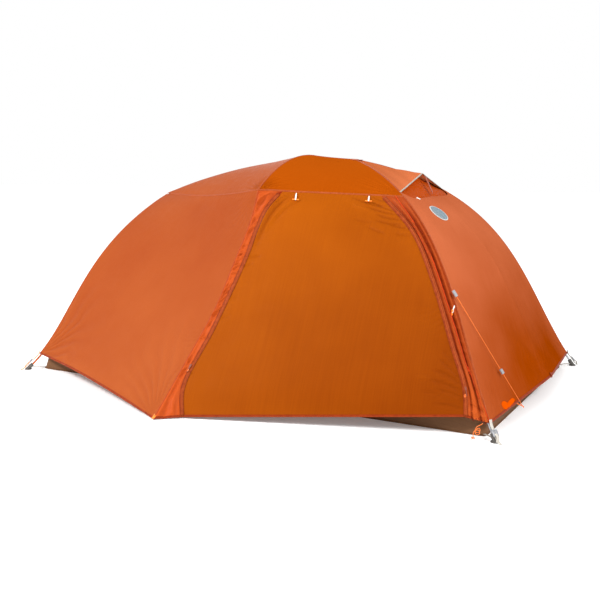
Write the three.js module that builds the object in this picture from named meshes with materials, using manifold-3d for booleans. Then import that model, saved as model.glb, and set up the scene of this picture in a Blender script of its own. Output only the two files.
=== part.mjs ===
// A two-person, double-wall tent pitched on a hubbed pole set, with its fly on and both vestibule
// doors closed. Millimetres, +Z up, origin on the ground at the centre of the floor, +X towards the
// head end. The two long sides mirror each other across the plane y = 0.
import * as THREE from 'three';
import Module from 'manifold-3d';
import { mergeVertices } from 'three/addons/utils/BufferGeometryUtils.js';
import { LoftGeometry } from 'three/addons/geometries/LoftGeometry.js';

const wasm = await Module();
wasm.setup();

const V = (x, y, z) => new THREE.Vector3(x, y, z);

// ---- driving dimensions ------------------------------------------------------------------
const FLOOR_LENGTH = 2235;
const FLOOR_WIDTH_HEAD = 1320;
const FLOOR_WIDTH_FOOT = 1070;
const TUB_WALL = 110;
const TUB_LEAN = 24;
const TUB_CLOTH = 1.5;
const TIP_OUTSET = 47.5;
const TIP_SPREAD = 50;

const POLE_RADIUS = 4.5;
const POLE_BORE = 3.4;
const SHOCK_CORD_RADIUS = 1.3;
const FLY_LIFT = 11;
const CLOTH = 1;
const SEAM = 1.4;

const HEAD_HUB = V(290, 0, 1002);
const FOOT_HUB = V(-740, 0, 826);
const CROSS_X = 64;
const CROSS_AXIS_TOP = 1020;
const RIDGE_AXIS_TOP = 1007;
const CROSS_AXIS_TIP = V(CROSS_X, -478, 874);
const SOCKET_DEPTH = 16;
const SOCKET_START = 13;
const HUB_RADIUS = 8;
const SOCKET_BORE = 6.1;
const CORD_BORE = 2.7;
const KNOT_RADIUS = 2.4;
const SADDLE_WIDTH = 22;
const SADDLE_HEIGHT = 15;
const SADDLE_BORE = 5.5;
const TIP_GAP = 6;
const FOOT_DISC_RADIUS = 16;
const FOOT_DISC_THICKNESS = 5;
const FOOT_SLEEVE = 28;
const FOOT_SLEEVE_SUNK = 12;
const FOOT_SLEEVE_RADIUS = 9.2;
const FOOT_SLEEVE_BORE = 5.9;

// Points of the front half of the fly. A brow tip carries the roof outwards over each door, and
// the apex is the lowest point of the vestibule, where its stake loop is.
const PEAK = V(CROSS_X, 0, 1030);
const BROW_TIP = V(CROSS_X, -483, 883);
const APEX = V(-100, -1035, 5);
const FOOT_PEAK = V(-746, 0, 839);
const DOOR_TOP_START = 0.176;
const DOOR_TOP_END = 0.842;
const DOOR_HEM_FOOT = V(-7, -964, 7);
const DOOR_HEM_HEAD = V(1044, -686, 73);
const CORNER_CUT = 16;
const SHOULDER_HEIGHT = 858;
const VENT_HEIGHT = 874;
const HEAD_CORNER_HEIGHT = 63;
const FOOT_CORNER_HEIGHT = 74;
const HEM_RISE = 14;
const HOOD_SAG = 18;
const CLIP_REACH = 28;
const CLIP_OUTER = 7;
const CLIP_INNER = 5.4;
const CLIP_LENGTH = 12;
const CLIP_STEM = 6;
const CANOPY_EASE = 6;
const SLIDER_LIFT = 6;
const FOOT_SLIDER_START = 0.2;
const HEAD_SLIDER_START = 0.1;
const ZIP_TO_SLIDER = 9;
const TOGGLE_RADIUS = 2.6;
const TOGGLE_LENGTH = 24;
const TOGGLE_DROP = 44;
const FOOT_TOGGLE_AT = 0.19;
const HEAD_TOGGLE_AT = 0.84;
const STRAP_WIDTH = 12;
const STRAP_THICKNESS = 1.4;
const STRAP_OVER_FOOT = 18;
const STRAP_END = 36;
const GUYLINE_RADIUS = 1.1;
const GUYLINE_HEIGHT = 500;
const GUYLINE_OUTSET = 18;
const GUYLINE_END = V(1196, -424, 66);
const TENSIONER_ALONG = 337;
const HEM_PULL_OUT = 1212;
const HEM_PULL_OUT_HEIGHT = 98;
const VENT_SILL = V(660, -236, 852);
const HOOD_TIP = V(620, 0, 948);
const VENT_MESH_BASE = V(648, -215, 842);
const VENT_MESH_TOP = V(540, -120, 938);
const STRUT_BASE = V(671, 0, 858);
const STRUT_TOP = V(632, 0, 938);
const STRUT_WIDTH = 16;
const STRUT_THICKNESS = 2;

// ---- curves ------------------------------------------------------------------------------
// A stretch of another curve, from one fraction of its length to another.
class Stretch extends THREE.Curve {
  constructor(curve, from, to) {
    super();
    this.curve = curve;
    this.from = from;
    this.to = to;
  }

  getPoint(t) {
    return this.curve.getPointAt(THREE.MathUtils.lerp(this.from, this.to, t));
  }
}

// A curve moved outwards, square to itself, within the upright plane that holds it.
class Lifted extends THREE.Curve {
  constructor(curve, lift) {
    super();
    this.curve = curve;
    this.lift = lift;
    const run = curve.getPoint(1).sub(curve.getPoint(0)).setZ(0);
    this.side = run.normalize().cross(V(0, 0, 1));
  }

  getPoint(t) {
    const tangent = this.curve.getTangentAt(t);
    return this.curve.getPointAt(t).addScaledVector(this.side.clone().cross(tangent), this.lift);
  }
}

// A round arc through three points.
class ArcThrough extends THREE.Curve {
  constructor(start, middle, end) {
    super();
    const a = middle.clone().sub(start);
    const b = end.clone().sub(start);
    const normal = a.clone().cross(b);
    const offset = b.clone().multiplyScalar(a.lengthSq()).sub(a.clone().multiplyScalar(b.lengthSq()));
    this.centre = normal.clone().cross(offset).divideScalar(-2 * normal.lengthSq()).add(start);
    this.normal = normal.normalize();
    this.spoke = start.clone().sub(this.centre);
    const last = end.clone().sub(this.centre);
    this.sweep = this.spoke.angleTo(last);
  }

  getPoint(t) {
    return this.spoke.clone().applyAxisAngle(this.normal, this.sweep * t).add(this.centre);
  }
}

const line = (from, to) => new THREE.LineCurve3(from, to);
const smooth = (...points) => new THREE.CatmullRomCurve3(points, false, 'centripetal');
const point = (place) => new THREE.LineCurve3(place, place);

// A leg bends in an upright plane from its hub to its foot. The two handles are given by how far
// out they are, as a fraction of the leg's reach, and by their height.
function legCurve(hub, tip, shoulderReach, shoulderHeight, kneeReach, kneeHeight) {
  const shoulder = hub.clone().lerp(tip, shoulderReach).setZ(shoulderHeight);
  const knee = hub.clone().lerp(tip, kneeReach).setZ(kneeHeight);
  return new THREE.CubicBezierCurve3(hub, shoulder, knee, tip);
}

const headTip = V(FLOOR_LENGTH / 2 + TIP_OUTSET, -FLOOR_WIDTH_HEAD / 2 - TIP_SPREAD, 6);
const footTip = V(-FLOOR_LENGTH / 2 - TIP_OUTSET, -FLOOR_WIDTH_FOOT / 2 - TIP_SPREAD, 6);
const headLeg = legCurve(HEAD_HUB, headTip, 0.72, 846, 0.74, 382);
const footLeg = legCurve(FOOT_HUB, footTip, 0.652, 547, 0.67, 200);
const ridgeAxis = smooth(
  FOOT_HUB, V(-543, 0, 893), V(-311, 0, 951), V(-91, 0, 988), V(CROSS_X, 0, RIDGE_AXIS_TOP), HEAD_HUB
);
const crossAxis = new ArcThrough(
  CROSS_AXIS_TIP, V(CROSS_X, 0, CROSS_AXIS_TOP), CROSS_AXIS_TIP.clone().setY(-CROSS_AXIS_TIP.y)
);

const headSeam = new Lifted(headLeg, FLY_LIFT);
const footSeam = new Lifted(footLeg, FLY_LIFT);

// The fraction of a falling curve at which it has come down to a height.
function fractionAtHeight(curve, height) {
  let low = 0;
  let high = 1;
  for (let i = 0; i < 40; i++) {
    const middle = (low + high) / 2;
    if (curve.getPoint(middle).z > height) low = middle;
    else high = middle;
  }
  return low;
}

const headShoulder = fractionAtHeight(headSeam, SHOULDER_HEIGHT);
const headVent = fractionAtHeight(headSeam, VENT_HEIGHT);
const headCorner = fractionAtHeight(headSeam, HEAD_CORNER_HEIGHT);
const footCorner = fractionAtHeight(footSeam, FOOT_CORNER_HEIGHT);
const ROOF_START = 0.012;

const shoulderPoint = headSeam.getPoint(headShoulder);
const doorTopFoot = BROW_TIP.clone().lerp(shoulderPoint, DOOR_TOP_START);
const doorTopHead = BROW_TIP.clone().lerp(shoulderPoint, DOOR_TOP_END);
const ridgeSeamFoot = smooth(FOOT_PEAK, V(-543, 0, 905), V(-311, 0, 963), V(-91, 0, 1001), PEAK);
const ridgeSeamHead = smooth(PEAK, V(180, 0, 1018), headSeam.getPoint(ROOF_START).setY(0));
const browSeam = new Stretch(
  new ArcThrough(BROW_TIP, PEAK, BROW_TIP.clone().setY(-BROW_TIP.y)), 0, 0.5
);
const eaveSeam = smooth(FOOT_PEAK, V(-406, -203, 840), V(-158, -351, 856), BROW_TIP);
const vestibuleSeam = smooth(
  APEX, V(-79, -901, 143), V(-54, -827, 242), V(-14, -712, 401), V(19, -613, 582),
  V(51, -522, 761), BROW_TIP
);
const footZip = smooth(
  DOOR_HEM_FOOT, V(-34, -913, 112), V(11, -754, 330), V(72, -592, 607), V(91, -527, 731),
  V(116, -490, 808), doorTopFoot
);
const headZip = smooth(
  DOOR_HEM_HEAD, V(1030, -664, 172), V(958, -609, 327), V(862, -525, 520), V(735, -422, 714),
  doorTopHead
);
const headCornerPoint = headSeam.getPoint(headCorner);
const footCornerPoint = footSeam.getPoint(footCorner);
const ventPoint = headSeam.getPoint(headVent);

// ---- solids ------------------------------------------------------------------------------
// Turns a closed geometry's faces outwards and leaves only its positions, merged.
function closed(geometry) {
  const bare = new THREE.BufferGeometry();
  bare.setAttribute('position', geometry.getAttribute('position').clone());
  if (geometry.index) bare.setIndex(geometry.index.clone());
  const merged = mergeVertices(bare, 1e-3);
  const places = merged.getAttribute('position');
  const index = merged.index.array;
  let volume = 0;
  const kept = [];
  const a = new THREE.Vector3();
  const b = new THREE.Vector3();
  const c = new THREE.Vector3();
  for (let i = 0; i < index.length; i += 3) {
    const [p, q, r] = [index[i], index[i + 1], index[i + 2]];
    if (p === q || q === r || r === p) continue;
    a.fromBufferAttribute(places, p);
    b.fromBufferAttribute(places, q);
    c.fromBufferAttribute(places, r);
    volume += a.dot(b.cross(c));
    kept.push([p, q, r]);
  }
  merged.setIndex(kept.flatMap(([p, q, r]) => (volume < 0 ? [p, r, q] : [p, q, r])));
  merged.computeVertexNormals();
  return merged;
}

// The same solid on the other side of the plane y = 0.
function mirrored(geometry) {
  return closed(geometry.clone().scale(1, -1, 1));
}

// A four-sided surface between four edges. u runs along bottom and top, v along left and right.
function patch(bottom, top, left, right) {
  const corners = [bottom.getPoint(0), bottom.getPoint(1), top.getPoint(0), top.getPoint(1)];
  return (u, v) => {
    const along = bottom.getPoint(u).lerp(top.getPoint(u), v);
    const across = left.getPoint(v).lerp(right.getPoint(v), u);
    const plain = corners[0].clone().lerp(corners[1], u);
    plain.lerp(corners[2].clone().lerp(corners[3], u), v);
    return along.add(across).sub(plain);
  };
}

// A cloth panel: a surface given a thickness, and drawn back from its edges by half a seam.
function cloth(surface, columns, rows, thickness = CLOTH) {
  const step = 1e-3;
  const faces = [[], []];
  for (let j = 0; j <= rows; j++) {
    for (let i = 0; i <= columns; i++) {
      const width = surface(0, j / rows).distanceTo(surface(1, j / rows));
      const height = surface(i / columns, 0).distanceTo(surface(i / columns, 1));
      const marginU = Math.min(SEAM / width, 0.25);
      const marginV = Math.min(SEAM / height, 0.25);
      const u = THREE.MathUtils.lerp(marginU, 1 - marginU, i / columns);
      const v = THREE.MathUtils.lerp(marginV, 1 - marginV, j / rows);
      const place = surface(u, v);
      const alongU = surface(u + step, v).sub(surface(u - step, v));
      const alongV = surface(u, v + step).sub(surface(u, v - step));
      const normal = alongU.cross(alongV).normalize().multiplyScalar(thickness / 2);
      faces[0].push(place.clone().add(normal));
      faces[1].push(place.clone().sub(normal));
    }
  }
  const across = columns + 1;
  const count = faces[0].length;
  const triangles = [];
  const quad = (p, q, r, s) => triangles.push(p, q, r, p, r, s);
  for (let j = 0; j < rows; j++) {
    for (let i = 0; i < columns; i++) {
      const k = j * across + i;
      quad(k, k + 1, k + across + 1, k + across);
      quad(count + k, count + k + across, count + k + across + 1, count + k + 1);
    }
  }
  const rim = [];
  for (let i = 0; i < columns; i++) rim.push(i);
  for (let j = 0; j < rows; j++) rim.push(j * across + columns);
  for (let i = columns; i > 0; i--) rim.push(rows * across + i);
  for (let j = rows; j > 0; j--) rim.push(j * across);
  rim.forEach((k, n) => {
    const next = rim[(n + 1) % rim.length];
    quad(next, k, count + k, count + next);
  });
  const geometry = new THREE.BufferGeometry().setFromPoints([...faces[0], ...faces[1]]);
  geometry.setIndex(triangles);
  return closed(geometry);
}

function ring(radius, sides) {
  const points = [];
  for (let i = 0; i < sides; i++) {
    const angle = ((i + 0.5) * 2 * Math.PI) / sides;
    points.push(new THREE.Vector2(radius * Math.cos(angle), radius * Math.sin(angle)));
  }
  return points;
}

function tube(path, steps, radius, bore = 0, sides = 8) {
  const section = new THREE.Shape(ring(radius, sides));
  if (bore > 0) section.holes.push(new THREE.Path(ring(bore, sides).reverse()));
  return closed(
    new THREE.ExtrudeGeometry(section, { extrudePath: path, steps, bevelEnabled: false })
  );
}

// A strap through a list of points, with its width along a given direction.
function ribbon(points, width, thickness, widthDirection) {
  const half = widthDirection.clone().normalize().multiplyScalar(width / 2);
  const sections = points.map((place, i) => {
    const before = points[Math.max(i - 1, 0)];
    const after = points[Math.min(i + 1, points.length - 1)];
    const normal = after.clone().sub(before).cross(half).normalize().multiplyScalar(thickness / 2);
    return [
      place.clone().add(half).add(normal), place.clone().sub(half).add(normal),
      place.clone().sub(half).sub(normal), place.clone().add(half).sub(normal),
    ];
  });
  return closed(new LoftGeometry(sections, { capStart: true, capEnd: true }));
}

// Moves a geometry made about the origin so that its +Z points along a direction.
function aim(geometry, place, direction, roll = 0) {
  const turn = new THREE.Quaternion().setFromUnitVectors(V(0, 0, 1), direction.clone().normalize());
  geometry.rotateZ(roll);
  geometry.applyQuaternion(turn);
  geometry.translate(place.x, place.y, place.z);
  return geometry;
}

// A cylinder whose axis starts at a place and runs a length along a direction.
function rod(place, direction, length, radius, sides = 8) {
  const geometry = new THREE.CylinderGeometry(radius, radius, length, sides);
  geometry.rotateX(Math.PI / 2);
  geometry.translate(0, 0, length / 2);
  return aim(geometry, place, direction);
}

function solid(geometry) {
  const bare = closed(geometry);
  return new wasm.Manifold(new wasm.Mesh({
    numProp: 3,
    vertProperties: new Float32Array(bare.getAttribute('position').array),
    triVerts: new Uint32Array(bare.index.array),
  }));
}

function fromSolid(manifold) {
  const mesh = manifold.getMesh();
  const geometry = new THREE.BufferGeometry();
  geometry.setAttribute('position', new THREE.BufferAttribute(mesh.vertProperties, 3));
  geometry.setIndex(new THREE.BufferAttribute(mesh.triVerts, 1));
  return closed(geometry);
}

// ---- materials ---------------------------------------------------------------------------
const paint = (color, roughness, metalness = 0) => {
  return new THREE.MeshStandardMaterial({ color, roughness, metalness });
};
const salmonCloth = paint(0xd36c3c, 0.55);
const orangeCloth = paint(0xc46212, 0.5);
const flapCloth = paint(0xc94f22, 0.55);
const floorCloth = paint(0x7d6a5a, 0.6);
const innerMesh = paint(0xb9b4ac, 0.8);
const silverTube = paint(0xb9bbbd, 0.35, 0.9);
const orangeTube = paint(0xe07020, 0.4, 0.8);
const hubPlastic = paint(0x55585a, 0.5);
const footPlastic = paint(0x4a4744, 0.6);
const webbing = paint(0xa8a49c, 0.8);
const orangeCord = paint(0xee7a1c, 0.7);
const whiteCord = paint(0xd8d8d4, 0.7);
const whitePlastic = paint(0xd9dadb, 0.5);
const greyPlastic = paint(0x8b8d8f, 0.5);
const zipMetal = paint(0x77787a, 0.4, 0.7);

const tent = new THREE.Group();

function add(name, geometry, material) {
  const mesh = new THREE.Mesh(geometry, material);
  mesh.name = name;
  tent.add(mesh);
}

// Adds a piece of the front side and its mirror image on the back side.
function addPair(name, geometry, material) {
  add(`${name}_front`, geometry, material);
  add(`${name}_back`, mirrored(geometry), material);
}

// ---- poles -------------------------------------------------------------------------------
// Every pole is a string of hollow sections on a shock cord, drawn here as one curved tube. Its
// ends sit in the sockets of the two hubs or in a foot.
function inSockets(curve, startGap, endGap) {
  const length = curve.getLength();
  return new Stretch(curve, startGap / length, 1 - endGap / length);
}

const LEG_STEPS = 18;
const RIDGE_STEPS = 9;
const BROW_STEPS = 10;
const headPole = inSockets(headLeg, SOCKET_START + 0.5, TIP_GAP);
const footPole = inSockets(footLeg, SOCKET_START + 0.5, TIP_GAP);
const ridgePole = inSockets(ridgeAxis, SOCKET_START + 0.5, SOCKET_START + 0.5);
addPair('head_leg_pole', tube(headPole, LEG_STEPS, POLE_RADIUS, POLE_BORE), silverTube);
addPair('foot_leg_pole', tube(footPole, LEG_STEPS, POLE_RADIUS, POLE_BORE), orangeTube);
add('ridge_pole', tube(ridgePole, RIDGE_STEPS, POLE_RADIUS, POLE_BORE), silverTube);
add('brow_pole', tube(crossAxis, BROW_STEPS, POLE_RADIUS, POLE_BORE), orangeTube);

function ball(place, radius, sides, rings) {
  const geometry = new THREE.SphereGeometry(radius, sides, rings);
  return solid(geometry.translate(place.x, place.y, place.z));
}

// One elastic cord runs through the legs, the hubs and the ridge, knotted in each hub.
function poleSetCord() {
  const headCord = tube(inSockets(headLeg, 0, TIP_GAP + 2), LEG_STEPS, SHOCK_CORD_RADIUS, 0, 5);
  const footCord = tube(inSockets(footLeg, 0, TIP_GAP + 2), LEG_STEPS, SHOCK_CORD_RADIUS, 0, 5);
  let cord = solid(tube(ridgeAxis, RIDGE_STEPS, SHOCK_CORD_RADIUS, 0, 5));
  for (const part of [headCord, footCord]) cord = cord.add(solid(part)).add(solid(mirrored(part)));
  for (const hubPlace of [HEAD_HUB, FOOT_HUB]) cord = cord.add(ball(hubPlace, KNOT_RADIUS, 6, 4));
  return fromSolid(cord);
}
add('pole_set_shock_cord', poleSetCord(), whiteCord);
const browCord = tube(inSockets(crossAxis, 2, 2), BROW_STEPS, SHOCK_CORD_RADIUS, 0, 5);
add('brow_shock_cord', browCord, whiteCord);

// A Y-shaped hub: three sleeves that meet, each bored for the end of its pole.
function hub(place, directions) {
  const reach = SOCKET_START + SOCKET_DEPTH;
  let body = ball(place, HUB_RADIUS, 8, 5);
  for (const direction of directions) {
    body = body.add(solid(rod(place, direction, reach, HUB_RADIUS - 0.1)));
  }
  for (const direction of directions) {
    const start = place.clone().addScaledVector(direction, SOCKET_START);
    body = body.subtract(solid(rod(start, direction, reach, SOCKET_BORE)));
    body = body.subtract(solid(rod(place, direction, reach, CORD_BORE, 6)));
  }
  return fromSolid(body.subtract(ball(place, KNOT_RADIUS + 1, 6, 4)));
}

function outwards(curve, at) {
  const direction = curve.getTangentAt(at);
  return at > 0.5 ? direction.negate() : direction;
}

const acrossY = (direction) => V(direction.x, -direction.y, direction.z);
const headArm = outwards(headLeg, 0);
const footArm = outwards(footLeg, 0);
add('head_hub', hub(HEAD_HUB, [headArm, acrossY(headArm), outwards(ridgeAxis, 1)]), hubPlastic);
add('foot_hub', hub(FOOT_HUB, [footArm, acrossY(footArm), outwards(ridgeAxis, 0)]), hubPlastic);

// The saddle that holds the brow pole across the top of the ridge pole.
function browSaddle() {
  const middle = (RIDGE_AXIS_TOP + CROSS_AXIS_TOP) / 2;
  const block = new THREE.BoxGeometry(SADDLE_WIDTH, SADDLE_WIDTH, SADDLE_HEIGHT);
  const run = 4 * SADDLE_WIDTH;
  const lower = rod(V(CROSS_X - run / 2, 0, RIDGE_AXIS_TOP), V(1, 0, 0), run, SADDLE_BORE);
  const upper = rod(V(CROSS_X, -run / 2, CROSS_AXIS_TOP), V(0, 1, 0), run, SADDLE_BORE);
  const body = solid(block.translate(CROSS_X, 0, middle));
  return fromSolid(body.subtract(solid(lower)).subtract(solid(upper)));
}
add('brow_saddle', browSaddle(), hubPlastic);

// A foot: a disc on the ground with a sleeve that leans with the pole and takes its tip.
function poleFoot(curve) {
  const tip = curve.getPoint(1);
  const up = curve.getPointAt(1 - FOOT_SLEEVE / curve.getLength()).sub(tip).normalize();
  const disc = rod(tip.clone().setZ(0), V(0, 0, 1), FOOT_DISC_THICKNESS, FOOT_DISC_RADIUS, 16);
  const low = tip.clone().addScaledVector(up, -FOOT_SLEEVE_SUNK);
  const sleeve = rod(low, up, FOOT_SLEEVE + FOOT_SLEEVE_SUNK, FOOT_SLEEVE_RADIUS, 12);
  const seat = tip.clone().addScaledVector(up, TIP_GAP - 1);
  const bore = rod(seat, up, 2 * FOOT_SLEEVE, FOOT_SLEEVE_BORE, 10);
  const body = solid(disc).add(solid(sleeve)).subtract(solid(bore));
  return fromSolid(body.trimByPlane([0, 0, 1], 0));
}
addPair('head_pole_foot', poleFoot(headLeg), footPlastic);
addPair('foot_pole_foot', poleFoot(footLeg), footPlastic);

// ---- fly ---------------------------------------------------------------------------------
const even = (curve) => new Stretch(curve, 0, 1);
const shoulderToHub = new Stretch(headSeam, headShoulder, ROOF_START);
const cornerToShoulder = new Stretch(headSeam, headCorner, headShoulder);
const cornerToVent = new Stretch(headSeam, headCorner, headVent);
const cornerToFootHub = new Stretch(footSeam, footCorner, 0);

const centreRoof = patch(line(BROW_TIP, shoulderPoint), ridgeSeamHead, browSeam, shoulderToHub);
addPair('fly_centre_roof', cloth(centreRoof, 6, 6), orangeCloth);

const footRoof = patch(eaveSeam, ridgeSeamFoot, point(FOOT_PEAK), browSeam);
addPair('fly_foot_roof', cloth((u, v) => footRoof(0.02 + 0.98 * u, v), 8, 6), salmonCloth);

// The hem of the foot side hangs from its two ends in a hollow curve.
const onFootHem = (share, rise) => {
  return footCornerPoint.clone().lerp(APEX, share).add(V(0, 0, rise));
};
const footHem = smooth(
  footCornerPoint, onFootHem(0.36, HEM_RISE), onFootHem(0.72, 0.8 * HEM_RISE), APEX
);
const footSide = patch(footHem, eaveSeam, cornerToFootHub, even(vestibuleSeam));
addPair('fly_foot_side', cloth(footSide, 8, 12), salmonCloth);

const footFlap = patch(
  line(APEX, DOOR_HEM_FOOT), line(BROW_TIP, doorTopFoot), even(vestibuleSeam), even(footZip)
);
addPair('foot_storm_flap', cloth(footFlap, 2, 12), flapCloth);

const door = patch(
  line(DOOR_HEM_FOOT, DOOR_HEM_HEAD), line(doorTopFoot, doorTopHead), even(footZip), even(headZip)
);
addPair('door', cloth(door, 6, 12), orangeCloth);

const headFlap = patch(
  line(DOOR_HEM_HEAD, headCornerPoint), line(doorTopHead, shoulderPoint), even(headZip),
  cornerToShoulder
);
addPair('head_storm_flap', cloth(headFlap, 2, 12), flapCloth);

// An end wall spans between its two corner seams, and its hem is pulled out at the middle.
function endHem(corner, reach) {
  const middle = V(Math.sign(corner.x) * reach, 0, HEM_PULL_OUT_HEIGHT);
  const path = new THREE.CurvePath();
  path.add(line(corner, middle));
  path.add(line(middle, acrossY(corner)));
  return path;
}

const ventEdge = smooth(
  ventPoint, VENT_SILL, V(666, 0, 848), acrossY(VENT_SILL), acrossY(ventPoint)
);
const across = (curve) => ({ getPoint: (t) => acrossY(curve.getPoint(t)) });
const headEnd = patch(
  endHem(headCornerPoint, HEM_PULL_OUT), ventEdge, cornerToVent, across(cornerToVent)
);
add('fly_head_end', cloth(headEnd, 10, 10), salmonCloth);

const footTop = footSeam.getPoint(0.02);
const footEnd = patch(
  endHem(footCornerPoint, HEM_PULL_OUT), line(footTop, acrossY(footTop)),
  new Stretch(footSeam, footCorner, 0.02), across(new Stretch(footSeam, footCorner, 0.02))
);
add('fly_foot_end', cloth(footEnd, 8, 9), salmonCloth);

// The vent hood carries the roof out over the head wall, and a strut holds up its front edge.
const hoodStart = headSeam.getPoint(ROOF_START + 0.01);
const hoodEdge = smooth(ventPoint, HOOD_TIP, acrossY(ventPoint));
const hood = patch(
  line(hoodStart, acrossY(hoodStart)), hoodEdge,
  new Stretch(headSeam, ROOF_START + 0.01, headVent),
  across(new Stretch(headSeam, ROOF_START + 0.01, headVent))
);
const saggingHood = (u, v) => {
  const share = Math.sin(Math.PI * u) * Math.sin(Math.PI * v);
  return hood(u, v).add(V(0, 0, -HOOD_SAG * share));
};
add('vent_hood', cloth(saggingHood, 8, 5), salmonCloth);

const ventMesh = patch(
  line(VENT_MESH_BASE, acrossY(VENT_MESH_BASE)), line(VENT_MESH_TOP, acrossY(VENT_MESH_TOP)),
  line(VENT_MESH_BASE, VENT_MESH_TOP), line(acrossY(VENT_MESH_BASE), acrossY(VENT_MESH_TOP))
);
add('vent_mesh', cloth(ventMesh, 4, 2), innerMesh);

// The strut stands on the sill of the vent and folds forwards onto the head wall.
const strut = ribbon([STRUT_BASE, STRUT_TOP], STRUT_WIDTH, STRUT_THICKNESS, V(0, 1, 0));
add('vent_strut', strut, greyPlastic);

// ---- inner tent --------------------------------------------------------------------------
function floorRing(height, inset) {
  const headHalf = FLOOR_WIDTH_HEAD / 2 - inset;
  const footHalf = FLOOR_WIDTH_FOOT / 2 - inset;
  const reach = FLOOR_LENGTH / 2 - inset;
  const cut = CORNER_CUT;
  return [
    V(reach, cut - headHalf, height), V(reach, headHalf - cut, height),
    V(reach - cut, headHalf, height), V(cut - reach, footHalf, height),
    V(-reach, footHalf - cut, height), V(-reach, cut - footHalf, height),
    V(cut - reach, -footHalf, height), V(reach - cut, -headHalf, height),
  ];
}

// The tub is a tray with leaning walls, made as one tapered block less a slightly smaller one.
function taper(low, lowInset, high, highInset) {
  const sections = [floorRing(low, lowInset), floorRing(high, highInset)];
  return solid(new LoftGeometry(sections, { capStart: true, capEnd: true }));
}
const tubInside = taper(TUB_CLOTH, TUB_CLOTH, TUB_WALL + TUB_CLOTH, TUB_LEAN + TUB_CLOTH);
const tub = fromSolid(taper(0, 0, TUB_WALL, TUB_LEAN).subtract(tubInside));
add('bathtub_floor', tub, floorCloth);

// The canopy hangs inside the poles by its clips, and comes down to the top of the tub's wall.
class CanopySeam extends THREE.Curve {
  constructor(leg, start, end, corner) {
    super();
    this.seam = new Lifted(leg, -CLIP_REACH);
    this.start = start;
    this.end = end;
    this.shift = corner.clone().sub(this.seam.getPoint(end));
  }

  getPoint(t) {
    const place = this.seam.getPoint(THREE.MathUtils.lerp(this.end, this.start, t));
    return place.addScaledVector(this.shift, (1 - t) ** CANOPY_EASE);
  }
}

const canopyHem = TUB_WALL + 2;
const canopyInset = TUB_LEAN + 6;
const headCanopyCorner = V(
  FLOOR_LENGTH / 2 - canopyInset, canopyInset + CORNER_CUT / 2 - FLOOR_WIDTH_HEAD / 2, canopyHem
);
const footCanopyCorner = V(
  canopyInset - FLOOR_LENGTH / 2, canopyInset + CORNER_CUT / 2 - FLOOR_WIDTH_FOOT / 2, canopyHem
);
const headCanopySeam = new CanopySeam(headLeg, 0.03, 0.86, headCanopyCorner);
const footCanopySeam = new CanopySeam(footLeg, 0.04, 0.84, footCanopyCorner);
const canopyRidge = line(
  footCanopySeam.getPoint(1).setY(-3), headCanopySeam.getPoint(1).setY(-3)
);
const canopySide = patch(
  line(footCanopyCorner, headCanopyCorner), canopyRidge, footCanopySeam, headCanopySeam
);
addPair('inner_side_wall', cloth(canopySide, 6, 8), innerMesh);

function endWall(seam) {
  const bottom = seam.getPoint(0);
  const top = seam.getPoint(1);
  return patch(line(bottom, acrossY(bottom)), line(top, acrossY(top)), seam, across(seam));
}
add('inner_head_wall', cloth(endWall(headCanopySeam), 4, 8), innerMesh);
add('inner_foot_wall', cloth(endWall(footCanopySeam), 4, 8), innerMesh);

// A clip snaps round a pole, and its stem reaches down to the canopy.
function canopyClip(leg, at) {
  const outline = new THREE.Shape();
  outline.absarc(0, 0, CLIP_OUTER, -0.35 * Math.PI, 1.1 * Math.PI, false);
  outline.absarc(0, 0, CLIP_INNER, 1.1 * Math.PI, -0.35 * Math.PI, true);
  const half = CLIP_STEM / 2;
  const stem = new THREE.Shape([
    new THREE.Vector2(CLIP_INNER + 0.2, -half), new THREE.Vector2(CLIP_REACH - 3, -half),
    new THREE.Vector2(CLIP_REACH - 3, half), new THREE.Vector2(CLIP_INNER + 0.2, half),
  ]);
  const options = { depth: CLIP_LENGTH, bevelEnabled: false, curveSegments: 8 };
  const hook = solid(new THREE.ExtrudeGeometry(outline, options));
  const tab = solid(new THREE.ExtrudeGeometry(stem, options));
  const geometry = fromSolid(hook.add(tab)).translate(0, 0, -CLIP_LENGTH / 2);
  const tangent = leg.getTangentAt(at);
  const inwards = new Lifted(leg, -1).getPoint(at).sub(leg.getPointAt(at)).normalize();
  const frame = new THREE.Matrix4().makeBasis(inwards, tangent.clone().cross(inwards), tangent);
  frame.setPosition(leg.getPointAt(at));
  return closed(geometry.applyMatrix4(frame));
}
addPair('head_canopy_clip', canopyClip(headLeg, 0.5), greyPlastic);
addPair('foot_canopy_clip', canopyClip(footLeg, 0.45), greyPlastic);

// ---- corner straps -----------------------------------------------------------------------
// Webbing runs from each corner of the fly, outside the pole, to the ground beyond its foot.
function cornerStrap(corner, tip) {
  const out = tip.clone().sub(corner).setZ(0).normalize();
  const start = corner.clone().addScaledVector(out, 4).setZ(corner.z - 2);
  const overFoot = tip.clone().addScaledVector(out, STRAP_OVER_FOOT).setZ(10);
  const end = tip.clone().addScaledVector(out, STRAP_END).setZ(2);
  const side = out.clone().cross(V(0, 0, 1));
  return ribbon([start, overFoot, end], STRAP_WIDTH, STRAP_THICKNESS, side);
}

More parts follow.
